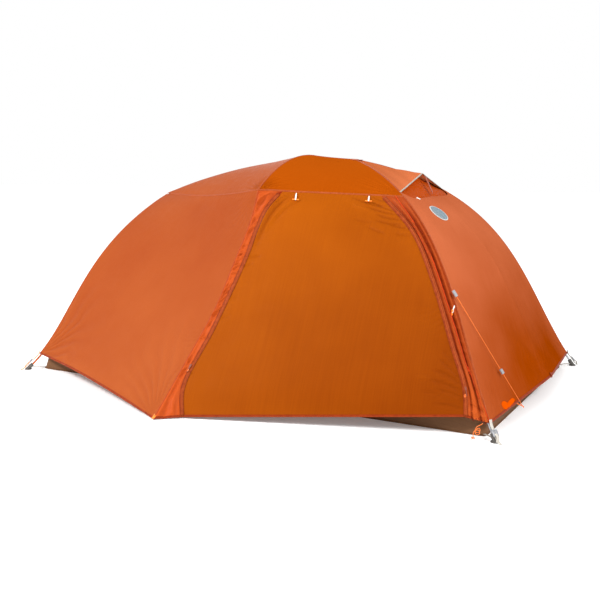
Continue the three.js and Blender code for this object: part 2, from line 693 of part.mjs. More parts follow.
// A ladder-lock buckle lies on the outside of the strap, a little above the foot.
function ladderLock(corner, tip) {
  const out = tip.clone().sub(corner).setZ(0).normalize();
  const overFoot = tip.clone().addScaledVector(out, STRAP_OVER_FOOT).setZ(10);
  const start = corner.clone().addScaledVector(out, 4).setZ(corner.z - 2);
  const down = overFoot.clone().sub(start).normalize();
  const side = out.clone().cross(V(0, 0, 1));
  const plate = new THREE.BoxGeometry(22, 26, 3.5);
  let body = solid(plate);
  for (const offset of [-6.5, 0, 6.5]) {
    body = body.subtract(solid(new THREE.BoxGeometry(14, 3, 8).translate(0, offset, 0)));
  }
  const normal = side.clone().cross(down);
  const frame = new THREE.Matrix4().makeBasis(side, down, normal);
  const lift = normal.dot(out) > 0 ? 3 : -3;
  frame.setPosition(start.lerp(overFoot, 0.55).addScaledVector(normal, lift));
  return closed(fromSolid(body).applyMatrix4(frame));
}
addPair('head_corner_strap', cornerStrap(headCornerPoint, headTip), webbing);
addPair('foot_corner_strap', cornerStrap(footCornerPoint, footTip), orangeCord);
addPair('head_ladder_lock', ladderLock(headCornerPoint, headTip), greyPlastic);
addPair('foot_ladder_lock', ladderLock(footCornerPoint, footTip), greyPlastic);

// ---- door fittings -----------------------------------------------------------------------
// Unit directions on a surface near its edge: along u, along v, and outwards from the tent.
function axesOn(surface, u, v) {
  const step = 1e-3;
  const alongU = surface(u + step, v).sub(surface(u - step, v)).normalize();
  const alongV = surface(u, v + step).sub(surface(u, v - step)).normalize();
  const outside = alongU.clone().cross(alongV).normalize();
  return { alongU: alongV.clone().cross(outside), alongV, outside };
}

// A zip slider rides on the flap beside the zip, with its pull hanging down.
function slider(flap, u, v, beside) {
  const { alongU, alongV, outside } = axesOn(flap, u, v);
  const outline = new THREE.Shape([
    new THREE.Vector2(-4, 6), new THREE.Vector2(-4, -5), new THREE.Vector2(-2, -8),
    new THREE.Vector2(-2, -28), new THREE.Vector2(2, -28), new THREE.Vector2(2, -8),
    new THREE.Vector2(4, -5), new THREE.Vector2(4, 6),
  ]);
  const body = new THREE.ExtrudeGeometry(outline, { depth: 3, bevelEnabled: false });
  const frame = new THREE.Matrix4().makeBasis(alongU, alongV, outside);
  const place = flap(u, v).addScaledVector(alongU, beside).addScaledVector(outside, SLIDER_LIFT);
  frame.setPosition(place);
  return closed(body.applyMatrix4(frame));
}
addPair('foot_zip_slider', slider(footFlap, 1, FOOT_SLIDER_START, -ZIP_TO_SLIDER), zipMetal);
addPair('head_zip_slider', slider(headFlap, 0, HEAD_SLIDER_START, ZIP_TO_SLIDER), zipMetal);

// A toggle bar hangs level from a loop just below the top of the door.
function toggle(u) {
  const { alongV, outside } = axesOn(door, u, 0.97);
  const level = doorTopHead.clone().sub(doorTopFoot).normalize();
  const middle = door(u, 1).addScaledVector(alongV, -TOGGLE_DROP).addScaledVector(outside, 6);
  const bar = new THREE.CapsuleGeometry(TOGGLE_RADIUS, TOGGLE_LENGTH, 2, 8).rotateX(Math.PI / 2);
  return closed(aim(bar, middle, level));
}
addPair('foot_door_toggle', toggle(FOOT_TOGGLE_AT), orangeCord);
addPair('head_door_toggle', toggle(HEAD_TOGGLE_AT), orangeCord);

// ---- guyline -----------------------------------------------------------------------------
// One line runs from an anchor on the head seam down to the hem of the head wall.
const guyTop = headSeam.getPoint(fractionAtHeight(headSeam, GUYLINE_HEIGHT));
const guyOut = V(0.83, -0.56, 0).normalize();
const guyStart = guyTop.clone().addScaledVector(guyOut, GUYLINE_OUTSET);
const guyDirection = GUYLINE_END.clone().sub(guyStart).normalize();
const guyPath = line(guyStart.clone().addScaledVector(guyDirection, 8), GUYLINE_END);
add('guyline', tube(guyPath, 10, GUYLINE_RADIUS), orangeCord);

function guyPiece(width, height, length, bore, along) {
  const outline = new THREE.Shape([
    new THREE.Vector2(-width / 2, -height / 2), new THREE.Vector2(width / 2, -height / 2),
    new THREE.Vector2(width / 2, height / 2), new THREE.Vector2(-width / 2, height / 2),
  ]);
  if (bore > 0) outline.holes.push(new THREE.Path(ring(bore, 8).reverse()));
  const body = new THREE.ExtrudeGeometry(outline, { depth: length, bevelEnabled: false });
  return closed(aim(body, guyStart.clone().addScaledVector(guyDirection, along), guyDirection));
}
add('guyline_anchor', guyPiece(9, 9, 26, 0, -19), whitePlastic);
add('guyline_tensioner', guyPiece(11, 8, 20, 1.8, TENSIONER_ALONG), greyPlastic);

export default tent;
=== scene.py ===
"""The looks of a two-person tent pitched with its fly on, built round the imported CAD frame.

Metres, +Z up, origin on the ground at the middle of the floor, +X towards the head end.
The front side has y < 0, and the back side mirrors it with creases of its own.
"""
import math

import bpy
import numpy as np
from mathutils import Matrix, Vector
from mathutils.bvhtree import BVHTree


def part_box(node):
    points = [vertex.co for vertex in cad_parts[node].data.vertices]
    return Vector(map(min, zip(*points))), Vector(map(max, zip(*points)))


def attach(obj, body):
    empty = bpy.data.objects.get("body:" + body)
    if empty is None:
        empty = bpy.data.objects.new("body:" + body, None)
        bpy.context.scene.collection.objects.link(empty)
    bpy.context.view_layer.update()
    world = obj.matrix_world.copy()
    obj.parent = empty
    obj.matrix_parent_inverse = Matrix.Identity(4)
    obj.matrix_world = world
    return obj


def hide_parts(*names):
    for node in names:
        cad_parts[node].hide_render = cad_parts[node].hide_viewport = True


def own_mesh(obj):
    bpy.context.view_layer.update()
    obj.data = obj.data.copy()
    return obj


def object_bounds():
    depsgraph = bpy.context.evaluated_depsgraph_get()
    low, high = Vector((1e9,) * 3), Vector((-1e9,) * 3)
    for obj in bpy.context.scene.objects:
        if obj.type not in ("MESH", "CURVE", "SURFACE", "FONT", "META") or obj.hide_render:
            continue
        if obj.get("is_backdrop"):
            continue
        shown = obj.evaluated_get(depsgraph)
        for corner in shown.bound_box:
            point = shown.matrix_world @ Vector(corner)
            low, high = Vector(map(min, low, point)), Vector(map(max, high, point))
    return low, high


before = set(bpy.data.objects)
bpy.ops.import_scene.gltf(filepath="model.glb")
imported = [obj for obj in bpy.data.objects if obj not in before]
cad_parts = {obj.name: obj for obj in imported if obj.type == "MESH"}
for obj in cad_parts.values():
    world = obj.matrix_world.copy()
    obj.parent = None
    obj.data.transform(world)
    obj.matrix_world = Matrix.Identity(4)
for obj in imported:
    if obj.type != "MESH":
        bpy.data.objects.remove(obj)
cad_box = [list(corner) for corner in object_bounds()]
scene = bpy.context.scene
TENT = "pitched_tent"
SIDES = {"front": 1, "back": -1}


# ---- camera ----
# Its place, lens and shift were fitted to the points on the ground that the photo shows.
CAMERA_PLACE, CAMERA_TARGET = (2.010, -3.911, 1.008), (0, 0, 0.4)
LENS, SENSOR_WIDTH = 55.7, 36
SHIFT_X, SHIFT_Y = 0.005, -0.02


def aim(thing, place, target):
    """Puts a camera or a lamp somewhere and turns it towards a target."""
    thing.location = place
    thing.rotation_euler = (Vector(target) - Vector(place)).to_track_quat("-Z", "Y").to_euler()
    scene.collection.objects.link(thing)


def add_camera():
    data = bpy.data.cameras.new("camera")
    data.lens, data.sensor_width = LENS, SENSOR_WIDTH
    data.shift_x, data.shift_y = SHIFT_X, SHIFT_Y
    scene.camera = bpy.data.objects.new("camera", data)
    aim(scene.camera, CAMERA_PLACE, CAMERA_TARGET)


add_camera()


# ---- curves ----
# A curve is an array of points, spaced evenly in its own parameter.
STATIONS = 401
T = np.linspace(0, 1, STATIONS)


def P(x, y, z):
    """A point given in millimetres."""
    return np.array((x, y, z), float) / 1000


def length(vectors):
    return np.linalg.norm(vectors, axis=-1, keepdims=True)


def unit(vectors):
    return vectors / np.maximum(length(vectors), 1e-12)


def at(curve, t):
    return np.stack([np.interp(t, T, curve[:, k]) for k in range(3)], axis=-1)


def run_of(points):
    """How far along a line of points each one is."""
    return np.concatenate([[0], np.cumsum(length(np.diff(points, axis=0)))])


def spaced(points, steps):
    """Points along a line of points, evenly spaced."""
    run = run_of(points)
    place = np.linspace(0, run[-1], steps + 1)
    return np.stack([np.interp(place, run, points[:, k]) for k in range(3)], axis=-1)


def even(curve):
    return spaced(curve, STATIONS - 1)


def paced(points, pitch):
    """Points along a line of points, about a pitch apart."""
    points = np.asarray(points)
    return spaced(points, max(2, int(round(run_of(points)[-1] / pitch))))


def stretch(curve, start, end):
    return at(even(curve), start + (end - start) * T)


def line(a, b):
    return a + (b - a) * T[:, None]


def mirror(points):
    return points * (1, -1, 1)


def span(point):
    """A line from a point on the front side to its image on the back."""
    return line(point, mirror(point))


def smooth(*points):
    """A centripetal Catmull-Rom curve through the points."""
    p = np.array(points)
    p = np.vstack([2 * p[0] - p[1], p, 2 * p[-1] - p[-2]])
    gap = np.sqrt(length(np.diff(p, axis=0)))
    place = T * (len(points) - 1)
    i = np.minimum(place.astype(int), len(points) - 2)
    w = (place - i)[:, None]
    d0, d1, d2 = gap[i], gap[i + 1], gap[i + 2]
    a, b, c, d = p[i], p[i + 1], p[i + 2], p[i + 3]
    m = ((b - a) / d0 - (c - a) / (d0 + d1) + (c - b) / d1) * d1
    n = ((c - b) / d1 - (d - b) / (d1 + d2) + (d - c) / d2) * d1
    return b + w * m + w**2 * (3 * (c - b) - 2 * m - n) + w**3 * (2 * (b - c) + m + n)


def arc(a, middle, b):
    """The arc of a circle from a to b through a point between them."""
    p, q = middle - a, b - a
    n = np.cross(p, q)
    centre = a - np.cross(n, q * (p @ p) - p * (q @ q)) / (2 * (n @ n))
    spoke, axis = a - centre, unit(n)
    sweep = math.acos(spoke @ (b - centre) / (spoke @ spoke))
    angle = (sweep * T)[:, None]
    return centre + spoke * np.cos(angle) + np.cross(axis, spoke) * np.sin(angle)


def leg(hub, tip, shoulder_reach, shoulder_height, knee_reach, knee_height):
    """A bent leg pole: a cubic pulled outwards and down by its shoulder and its knee."""
    shoulder = hub + (tip - hub) * shoulder_reach
    knee = hub + (tip - hub) * knee_reach
    shoulder[2], knee[2] = shoulder_height / 1000, knee_height / 1000
    t = T[:, None]
    s = 1 - t
    return even(s**3 * hub + 3 * s * s * t * shoulder + 3 * s * t * t * knee + t**3 * tip)


def lifted(curve, lift):
    """A leg moved outwards, square to itself, in the upright plane that holds it."""
    across = np.cross(unit((curve[-1] - curve[0]) * (1, 1, 0)), (0, 0, 1))
    tangent = unit(np.gradient(curve, axis=0))
    return even(curve + np.cross(across, tangent) * lift / 1000)


def fraction_at(curve, height):
    """How far down a falling curve a height in millimetres lies."""
    return np.interp(-height / 1000, -curve[:, 2], T)


# ---- the skeleton, as in the CAD source ----
HEAD_HUB, FOOT_HUB = P(290, 0, 1002), P(-740, 0, 826)
HEAD_TIP, FOOT_TIP = P(1165, -710, 6), P(-1165, -585, 6)
BROW_TIP, PEAK, APEX = P(64, -483, 883), P(64, 0, 1030), P(-100, -1035, 5)
FOOT_PEAK = P(-746, 0, 839)
DOOR_HEM_FOOT, DOOR_HEM_HEAD = P(-7, -964, 7), P(1044, -686, 73)
FLY_LIFT = 11
ROOF_START = 0.012

head_leg = leg(HEAD_HUB, HEAD_TIP, 0.72, 846, 0.74, 382)
foot_leg = leg(FOOT_HUB, FOOT_TIP, 0.652, 547, 0.67, 200)
ridge_axis = even(
    smooth(FOOT_HUB, P(-543, 0, 893), P(-311, 0, 951), P(-91, 0, 988), P(64, 0, 1007), HEAD_HUB)
)
cross_axis = arc(P(64, -478, 874), P(64, 0, 1020), P(64, 478, 874))
head_seam, foot_seam = lifted(head_leg, FLY_LIFT), lifted(foot_leg, FLY_LIFT)
SHOULDER, VENT, HEAD_CORNER = (fraction_at(head_seam, z) for z in (858, 874, 63))
FOOT_CORNER = fraction_at(foot_seam, 74)
shoulder, vent_point, head_corner = (at(head_seam, t) for t in (SHOULDER, VENT, HEAD_CORNER))
foot_corner = at(foot_seam, FOOT_CORNER)
DOOR_TOP_START, DOOR_TOP_END = 0.176, 0.842
door_top_foot = BROW_TIP + (shoulder - BROW_TIP) * DOOR_TOP_START
door_top_head = BROW_TIP + (shoulder - BROW_TIP) * DOOR_TOP_END

ridge_foot = smooth(FOOT_PEAK, P(-543, 0, 905), P(-311, 0, 963), P(-91, 0, 1001), PEAK)
ridge_head = smooth(PEAK, P(180, 0, 1018), at(head_seam, ROOF_START) * (1, 0, 1))
brow_seam = stretch(arc(BROW_TIP, PEAK, mirror(BROW_TIP)), 0, 0.5)
eave_seam = smooth(FOOT_PEAK, P(-406, -203, 840), P(-158, -351, 856), BROW_TIP)
vestibule_seam = smooth(
    APEX, P(-79, -901, 143), P(-54, -827, 242), P(-14, -712, 401), P(19, -613, 582),
    P(51, -522, 761), BROW_TIP,
)
foot_zip = smooth(
    DOOR_HEM_FOOT, P(-34, -913, 112), P(11, -754, 330), P(72, -592, 607), P(91, -527, 731),
    P(116, -490, 808), door_top_foot,
)
head_zip = smooth(
    DOOR_HEM_HEAD, P(1030, -664, 172), P(958, -609, 327), P(862, -525, 520), P(735, -422, 714),
    door_top_head,
)
HOOD_TIP = P(620, 0, 948)
hood_side = [vent_point + share * (HOOD_TIP - vent_point) for share in (0.0, 0.45, 0.88)]
hood_edge = smooth(*hood_side, HOOD_TIP, *[mirror(q) for q in hood_side[::-1]])
vent_edge = smooth(vent_point, P(660, -236, 852), P(666, 0, 848), P(660, 236, 852), mirror(vent_point))


HEM_REACH, HEM_HEIGHT = 1212, 98


def end_hem(corner, reach):
    """An end wall's hem, pulled out at the middle."""
    half = line(corner, P(reach, 0, HEM_HEIGHT))[::2]
    return np.vstack([half, mirror(half)[::-1][1:]])


def patch(bottom, top, left, right):
    """A surface between four edges: u runs along bottom and top, v along left and right."""
    bottom, top, left, right = (even(edge) for edge in (bottom, top, left, right))

    def surface(u, v):
        edges = (1 - v)[..., None] * at(bottom, u) + v[..., None] * at(top, u)
        edges += (1 - u)[..., None] * at(left, v) + u[..., None] * at(right, v)
        u, v = u[..., None], v[..., None]
        flat = (1 - v) * ((1 - u) * bottom[0] + u * bottom[-1])
        return edges - flat - v * ((1 - u) * top[0] + u * top[-1])
    return surface


def wall(bottom, top, side):
    """A surface from a curve on the front side to its image on the back."""
    return patch(bottom, top, side, mirror(side))


# ---- materials ----
def rgb(r, g, b):
    """An sRGB colour out of 255 as the linear one that shaders take."""
    c = np.array((r, g, b)) / 255
    return (*np.where(c <= 0.04045, c / 12.92, ((c + 0.055) / 1.055) ** 2.4), 1)


class Shader:
    """A material's node tree, built up by name."""

    def __init__(self, name):
        self.material = bpy.data.materials.new(name)
        self.material.use_nodes = True
        self.tree = self.material.node_tree
        self.tree.nodes.clear()

    def node(self, kind, inputs=(), **settings):
        made = self.tree.nodes.new("ShaderNode" + kind)
        for key, value in settings.items():
            setattr(made, key, value)
        for key, value in dict(inputs).items():
            if isinstance(value, bpy.types.NodeSocket):
                self.tree.links.new(value, made.inputs[key])
            else:
                made.inputs[key].default_value = value
        return made

    def coordinates(self, source, scale=(1, 1, 1)):
        place = self.node("TexCoord").outputs[source]
        return self.node("Mapping", {"Vector": place, "Scale": scale}).outputs[0]

    def noise(self, source, scale, detail=3.0, threads=(1, 1, 1)):
        """Cloudy values from about 0.3 to 0.7."""
        inputs = {"Vector": self.coordinates(source, threads), "Scale": scale, "Detail": detail}
        return self.node("TexNoise", inputs).outputs["Fac"]

    def spread(self, noise, low=0.0, high=1.0):
        """Noise drawn out to fill a range."""
        inputs = {"Value": noise, 1: 0.3, 2: 0.7, 3: low, 4: high}
        return self.node("MapRange", inputs).outputs[0]

    def mix(self, factor, a, b):
        return self.node("Mix", {0: factor, 6: a, 7: b}, data_type="RGBA").outputs[2]

    def math(self, operation, a, b):
        return self.node("Math", {0: a, 1: b}, operation=operation).outputs[0]

    def bump(self, height, strength, distance):
        inputs = {"Height": height, "Strength": strength, "Distance": distance}
        return self.node("Bump", inputs).outputs[0]

    def tones(self, factor, dark, light):
        return self.mix(factor, rgb(*dark), rgb(*light))

    def principled(self, inputs):
        return self.node("BsdfPrincipled", inputs).outputs[0]

    def finish(self, shader):
        self.node("OutputMaterial", {"Surface": shader})
        return self.material


def nylon(
    name, dark, light, ripstop=0.006, through=0.10, sheen=0.0, rough=0.5, streak=0.5, gloss=0.07, grain="UV",
    threads=(150, 5, 1),
):
    """Coated ripstop cloth. It is lit a little from behind, and dark and light are its ends of tone: a
    painted shade and a painted light.
    """
    s = Shader(name)
    # On the fly panels the tone attribute holds painted light and shade, with painted shade in fold hollows
    # and painted light on crests; random cloudiness and streaks are added to it.
    tone = s.node("Attribute", attribute_name="tone").outputs["Fac"]
    cloudy = s.spread(s.noise("Object", 3.5), -0.10, 0.10)
    streaks = s.spread(s.noise(grain, 1.0, 2.0, threads), -0.07 * streak, 0.07 * streak)
    tone = s.math("ADD", s.math("ADD", tone, cloudy), streaks)
    colour = s.tones(tone, dark, light)
    squares = s.node(
        "TexBrick",
        {
            "Vector": s.coordinates("UV"), "Scale": 1.0, "Mortar Size": 0.0005,
            "Mortar Smooth": 0.3, "Brick Width": ripstop, "Row Height": ripstop,
        },
        offset=0.0,
    ).outputs["Fac"]
    thread = s.noise("UV", 1.0, 1.0, (1500, 1500, 1))
    colour = s.mix(s.math("MULTIPLY", squares, 0.16), colour, rgb(*[c * 0.72 for c in dark]))
    height = s.math("ADD", s.math("MULTIPLY", squares, 0.6), s.math("MULTIPLY", thread, 0.4))
    normal = s.bump(height, 0.35, 0.0004)
    roughness = s.spread(s.noise("UV", 1.0, 3.0, (25, 25, 1)), rough - 0.05, rough + 0.06)
    cloth = s.principled({
        "Base Color": colour, "Roughness": roughness, "Normal": normal, "Specular IOR Level": gloss,
        "Sheen Weight": sheen, "Sheen Roughness": 0.35, "Sheen Tint": (1.0, 0.7, 0.5, 1),
    })
    lit = s.node("BsdfTranslucent", {"Color": colour, "Normal": normal}).outputs[0]
    return s.finish(s.node("MixShader", {0: through, 1: cloth, 2: lit}).outputs[0])


def webbing(name, dark, light, pitch=0.0016, rough=0.75):
    """Woven tape, with diagonal ribs across it and a little fuzz."""
    s = Shader(name)
    ribs = s.node(
        "TexWave", {"Vector": s.coordinates("UV"), "Scale": 0.314 / pitch, "Distortion": 0.4},
        bands_direction="DIAGONAL",
    ).outputs["Fac"]
    fuzz = s.noise("Object", 420.0, 2.0)
    value = s.math("ADD", s.math("MULTIPLY", ribs, 0.6), s.math("MULTIPLY", fuzz, 0.5))
    colour = s.tones(value, dark, light)
    return s.finish(s.principled({
        "Base Color": colour, "Roughness": rough, "Normal": s.bump(value, 0.5, 0.0005),
        "Sheen Weight": 0.2, "Specular IOR Level": 0.3,
    }))


def stitched(name, dark, light, thread, rows=(0.25, 0.75), pitch=0.0036):
    """Folded seam tape whose V coordinate runs 0 to 1 across it, with rows of stitches."""
    s = Shader(name)
    split = s.node("SeparateXYZ", {0: s.coordinates("UV")})
    along, across = split.outputs[0], split.outputs[1]
    dash = s.math("LESS_THAN", s.math("FRACT", s.math("DIVIDE", along, pitch), 0.0), 0.62)
    marks = None
    for row in rows:
        near = s.math("LESS_THAN", s.math("ABSOLUTE", s.math("SUBTRACT", across, row), 0.0), 0.055)
        marks = near if marks is None else s.math("MAXIMUM", marks, near)
    marks = s.math("MULTIPLY", marks, dash)
    cloudy = s.noise("Object", 60.0)
    colour = s.tones(s.spread(cloudy), dark, light)
    colour = s.mix(marks, colour, rgb(*thread))
    height = s.math("ADD", marks, s.math("MULTIPLY", cloudy, 0.6))
    return s.finish(s.principled({
        "Base Color": colour, "Roughness": 0.55, "Normal": s.bump(height, 0.5, 0.0006),
        "Sheen Weight": 0.02, "Specular IOR Level": 0.08,
    }))


def plastic(name, dark, light, rough=0.5, grain=900.0, metal=0.0):
    """Moulded plastic, or tube metal, with fine grain, faint mottling and handling marks."""
    s = Shader(name)
    fine = s.noise("Object", grain, 2.0)
    broad = s.noise("Object", 35.0, 4.0)
    colour = s.tones(s.spread(broad), dark, light)
    return s.finish(s.principled({
        "Base Color": colour, "Metallic": metal,
        "Roughness": s.spread(broad, rough - 0.07, rough + 0.1),
        "Normal": s.bump(fine, 0.15, 0.0003),
    }))


def netting(name, colour, cover=0.62, pitch=0.0022):
    """No-see-um mesh: fine knots that let most of what is behind show through."""
    s = Shader(name)
    cells = s.node("TexVoronoi", {"Vector": s.coordinates("UV"), "Scale": 1 / pitch}).outputs["Distance"]
    mottling = s.spread(s.noise("Object", 5.0), 0.2, 0.6)
    tone = s.math("ADD", mottling, s.math("MULTIPLY", cells, 0.4))
    solid = s.principled({
        "Base Color": s.tones(tone, [c * 0.75 for c in colour], colour),
        "Roughness": 0.8, "Sheen Weight": 0.3, "Normal": s.bump(cells, 0.4, 0.0004),
    })
    clear = s.node("BsdfTransparent").outputs[0]
    return s.finish(s.node("MixShader", {0: cover, 1: clear, 2: solid}).outputs[0])


# The fly is one orange cloth, given as lit and shaded copies for groups of panels. The salmon ones,
# salmon_nylon, salmon_nylon_head and hood_nylon, have a painted sky reflection in their base colour. In every
# fly cloth, dark is a painted shade end and light is a painted light end.
SHEEN_SALMON = nylon("salmon_nylon", (142, 58, 20), (163, 81, 37), sheen=0.02, gloss=0.03)
SHEEN_SALMON_HEAD = nylon("salmon_nylon_head", (140, 54, 0), (188, 100, 64), gloss=0.0)
ORANGE = nylon(
    "orange_nylon", (126, 52, 0), (158, 76, 4), streak=1.1, gloss=0.03, grain="Object", threads=(260, 2, 5)
)
ROOF = nylon("roof_nylon", (150, 62, 2), (166, 76, 10), gloss=0.0)
FLAP = nylon("flap_nylon", (126, 32, 0), (176, 72, 20), gloss=0.08)
FLAP_HEAD = nylon("flap_nylon_head", (114, 26, 0), (174, 76, 26), gloss=0.06)
HEM = stitched("hem_binding", (112, 32, 2), (132, 44, 6), (160, 74, 26), (0.3,))
SEAM = stitched("seam_tape", (134, 56, 20), (152, 68, 30), (166, 84, 44))
SEAM_RED = stitched("piping_red", (170, 48, 10), (192, 62, 16), (206, 90, 36), (0.5,))
SEAM_STRIP = stitched("strip_seam", (136, 48, 12), (154, 60, 20), (172, 82, 36), (0.5,))
TUB_SEAM = stitched("tub_seam", (84, 54, 32), (116, 80, 50), (150, 112, 78), (0.5,))
LIP = stitched("flap_edge", (112, 36, 4), (136, 52, 14), (158, 78, 34), (0.22, 0.5))
TUB = nylon("tub_cloth", (91, 62, 43), (131, 94, 65), through=0.08, sheen=0.1, rough=0.6)
NET = netting("liner_mesh", (150, 146, 140))
SHEEN_HOOD = nylon("hood_nylon", (174, 84, 40), (204, 116, 74), through=0.25, gloss=0.0)
VENT_NET = nylon("vent_cloth", (178, 60, 0), (214, 92, 8), through=0.35, sheen=0.02, gloss=0.03)
GREY_WEB = webbing("grey_webbing", (118, 110, 98), (166, 158, 146))
WHITE_WEB = webbing("white_webbing", (196, 194, 188), (240, 238, 234))
ORANGE_WEB = webbing("orange_webbing", (226, 98, 12), (255, 146, 40))
STRAP_WEB = webbing("strap_webbing", (148, 142, 132), (198, 192, 182))
PULL_PATCH = nylon("pull_patch", (206, 76, 0), (226, 92, 4), sheen=0.02, gloss=0.0)
STRUT_TAPE = webbing("strut_sleeve", (120, 40, 6), (158, 62, 18))
ORANGE_CORD = webbing("orange_cord", (206, 86, 14), (236, 124, 40), pitch=0.003)
WHITE_CORD = webbing("white_cord", (196, 194, 190), (236, 234, 230), pitch=0.002)
SILVER = plastic("silver_tube", (150, 152, 156), (196, 198, 202), 0.28, 1200.0, 1.0)
BRONZE = plastic("orange_tube", (204, 92, 30), (236, 124, 50), 0.3, 1200.0, 1.0)
HUB = plastic("hub_plastic", (62, 64, 66), (96, 98, 100), 0.5)
FOOT = plastic("foot_plastic", (58, 54, 50), (92, 88, 82), 0.6)
FITTING = plastic("fitting_plastic", (118, 120, 124), (160, 162, 166), 0.45)
BAR = plastic("toggle_plastic", (232, 108, 14), (255, 142, 40), 0.4)
ZIP_PAINT = plastic("slider_paint", (96, 34, 10), (132, 54, 22), 0.6, 1400.0)
COIL = plastic("zip_coil", (94, 33, 5), (135, 51, 12), 0.5)
PATCH = webbing("patch_border", (150, 154, 152), (196, 198, 194), pitch=0.0022)
PATCH_INSIDE = webbing("patch_middle", (70, 92, 104), (112, 132, 140), pitch=0.0022)


# ---- mesh tools ----
def make_mesh(name, points, faces, material, uv=None, tone=None, body=TENT, slot=None, replaces=()):
    mesh = bpy.data.meshes.new(name)
    mesh.from_pydata([tuple(p) for p in points], [], faces)
    mesh.polygons.foreach_set("use_smooth", [True] * len(mesh.polygons))
    mesh.materials.append(material)
    if uv is not None:
        corners = np.zeros(len(mesh.loops), np.int32)
        mesh.loops.foreach_get("vertex_index", corners)
        mesh.uv_layers.new(name="cloth").data.foreach_set("uv", np.asarray(uv, np.float32)[corners].ravel())
    if tone is not None:
        shades = mesh.attributes.new("tone", "FLOAT", "POINT")
        shades.data.foreach_set("value", np.asarray(tone, np.float32).ravel())
    mesh.update()
    made = bpy.data.objects.new(name, mesh)
    scene.collection.objects.link(made)
    if body:
        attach(made, body)
    if replaces:
        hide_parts(*([replaces] if isinstance(replaces, str) else replaces))
    return made


def ring_faces(rows, count, looped=False):
    """The quads between rows of closed sections."""
    return [
        (i * count + j, i * count + (j + 1) % count, k * count + (j + 1) % count, k * count + j)
        for i, k in enumerate([*range(1, rows), 0] if looped else range(1, rows)) for j in range(count)
    ]


def section_mesh(name, points, share, run, material, looped=False, **rest):
    """A closed skin over rows of points, each row one section."""
    n, m = points.shape[:2]
    faces = ring_faces(n, m, looped)
    if not looped:
        faces += [tuple(range(m))[::-1], tuple((n - 1) * m + j for j in range(m))]
    uv = np.stack([np.repeat(run[:, None], m, 1), np.repeat(share[None], n, 0)], -1)
    return make_mesh(name, points.reshape(-1, 3), faces, material, uv.reshape(-1, 2), **rest)


def sweep(name, middle, section, material, across=None, scale=None, looped=False, **rest):
    """A section in metres carried along a line of points, its first axis along across."""
    middle = np.asarray(middle, float)
    ends = (middle[-1:], middle, middle[:1]) if looped else (middle,)
    tangent = unit(np.gradient(np.vstack(ends), axis=0))
    tangent = tangent[1:-1] if looped else tangent
    side = np.cross(tangent[0], (0, 0, 1) if abs(tangent[0, 2]) < 0.9 else (1, 0, 0))
    side = side if across is None else np.asarray(across, float)
    sides = []
    for t in tangent:
        square = unit(side - t * (side @ t))
        side = square if across is None else side
        sides.append(square)
    sides = np.array(sides)
    ups = np.cross(tangent, sides)
    section = np.asarray(section, float)
    scale = np.ones(len(middle)) if scale is None else np.asarray(scale)
    spread = sides[:, None] * section[None, :, :1] + ups[:, None] * section[None, :, 1:]
    points = middle[:, None] + spread * scale[:, None, None]
    share = section[:, 0] / max(np.ptp(section[:, 0]), 1e-6) + 0.5
    return section_mesh(name, points, share, run_of(middle), material, looped, **rest)


def disc(radius, sides=12):
    angle = np.arange(sides) * 2 * np.pi / sides
    return radius * np.stack([np.cos(angle), np.sin(angle)], -1)


def band(width, thick):
    w, t = width / 2, thick / 2
    e = min(t, w) * 0.6
    return np.array([
        (e - w, -t), (w - e, -t), (w, e - t), (w, t - e), (w - e, t), (e - w, t), (-w, t - e), (-w, e - t),
    ])


def rounded(count, ends=3):
    """Scales that close a tube with round ends."""
    scale = np.ones(count)
    for k in range(ends):
        scale[k] = scale[-1 - k] = math.sin((k + 0.35) / (ends + 0.35) * math.pi / 2)
    return scale


def loop_through(name, points, radius, material, pitch=0.003, **rest):
    """A small closed loop of cord through a few points."""
    points = [np.asarray(q, float) for q in points]
    path = paced(smooth(*points, points[0]), pitch)[:-1]
    return sweep(name, path, disc(radius, 8), material, looped=True, **rest)


# ---- cords ----
def cord_of(name, points, diameter, **facts):
    """A free cord as a round tube along its own line."""
    piece = sweep(name, points, disc(diameter / 2, 10), ORANGE_CORD, slot="cord_orange")
    return piece


GUY_HEIGHT, ANCHOR_REACH = 500, 0.018
guy_top = at(head_seam, fraction_at(head_seam, GUY_HEIGHT))
guy_start = guy_top + ANCHOR_REACH * unit(P(830, -560, 0))
guy_end = P(1196, -424, 66)
guy_way = unit(guy_end - guy_start)
guy_sag = 0.001 * np.outer(np.sin(np.pi * T[::20]), (0, 0, 1))
guy_route = line(guy_start + 0.008 * guy_way, guy_end)[::20] - guy_sag
guyline = cord_of(
    "guyline_cord", guy_route, 0.0022, length=0.502, far_end="object", lay="taut",
    with_pieces=["guyline_tensioner"],
)
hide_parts("guyline")


def trefoil(place, radius, count=12):
    """Points of a knot's turns round a place."""
    a = np.linspace(0, 2 * np.pi, count + 1)[:-1]
    turns = [np.sin(a) + 2 * np.sin(2 * a), np.cos(a) - 2 * np.cos(2 * a), -np.sin(3 * a)]
    return place + radius * np.stack(turns, -1) * (0.7, 0.7, 1.2)


def corner_route():
    """A few loose turns that hang from the head corner, down to a knot above the ground."""
    turn = np.pi * np.linspace(0.5, 5.0, 40)
    wide = 11 + 1.2 * np.sin(0.55 * turn)
    outward = 1100 + wide * np.cos(turn) + 2 * np.sin(0.8 * turn)
    height = 40 + wide * np.sin(turn + 0.3) - 0.9 * turn
    loops = np.stack([outward, -694 - 1.7 * turn, height], -1) / 1000
    return smooth(P(1114, -688, 58), P(1109, -691, 54), *loops, P(1088, -722, 18), P(1087, -722, 9))


for side_name, side in SIDES.items():
    route = paced(corner_route() * (1, side, 1), 0.003)
    knot = loop_through(
        "corner_cord_knot_" + side_name, trefoil(route[-1], 0.0030), 0.0013, ORANGE_CORD, 0.0012,
        slot="cord_orange",
    )
    cord_of(
        "corner_cord_" + side_name, route, 0.0026, length=float(run_of(route)[-1]), far_end="knot",
        lay="hanging", with_pieces=[knot],
    )


# ---- creased panels ----
NOISE_CELLS = 64
SEEDS = {"front": 10, "back": 60}


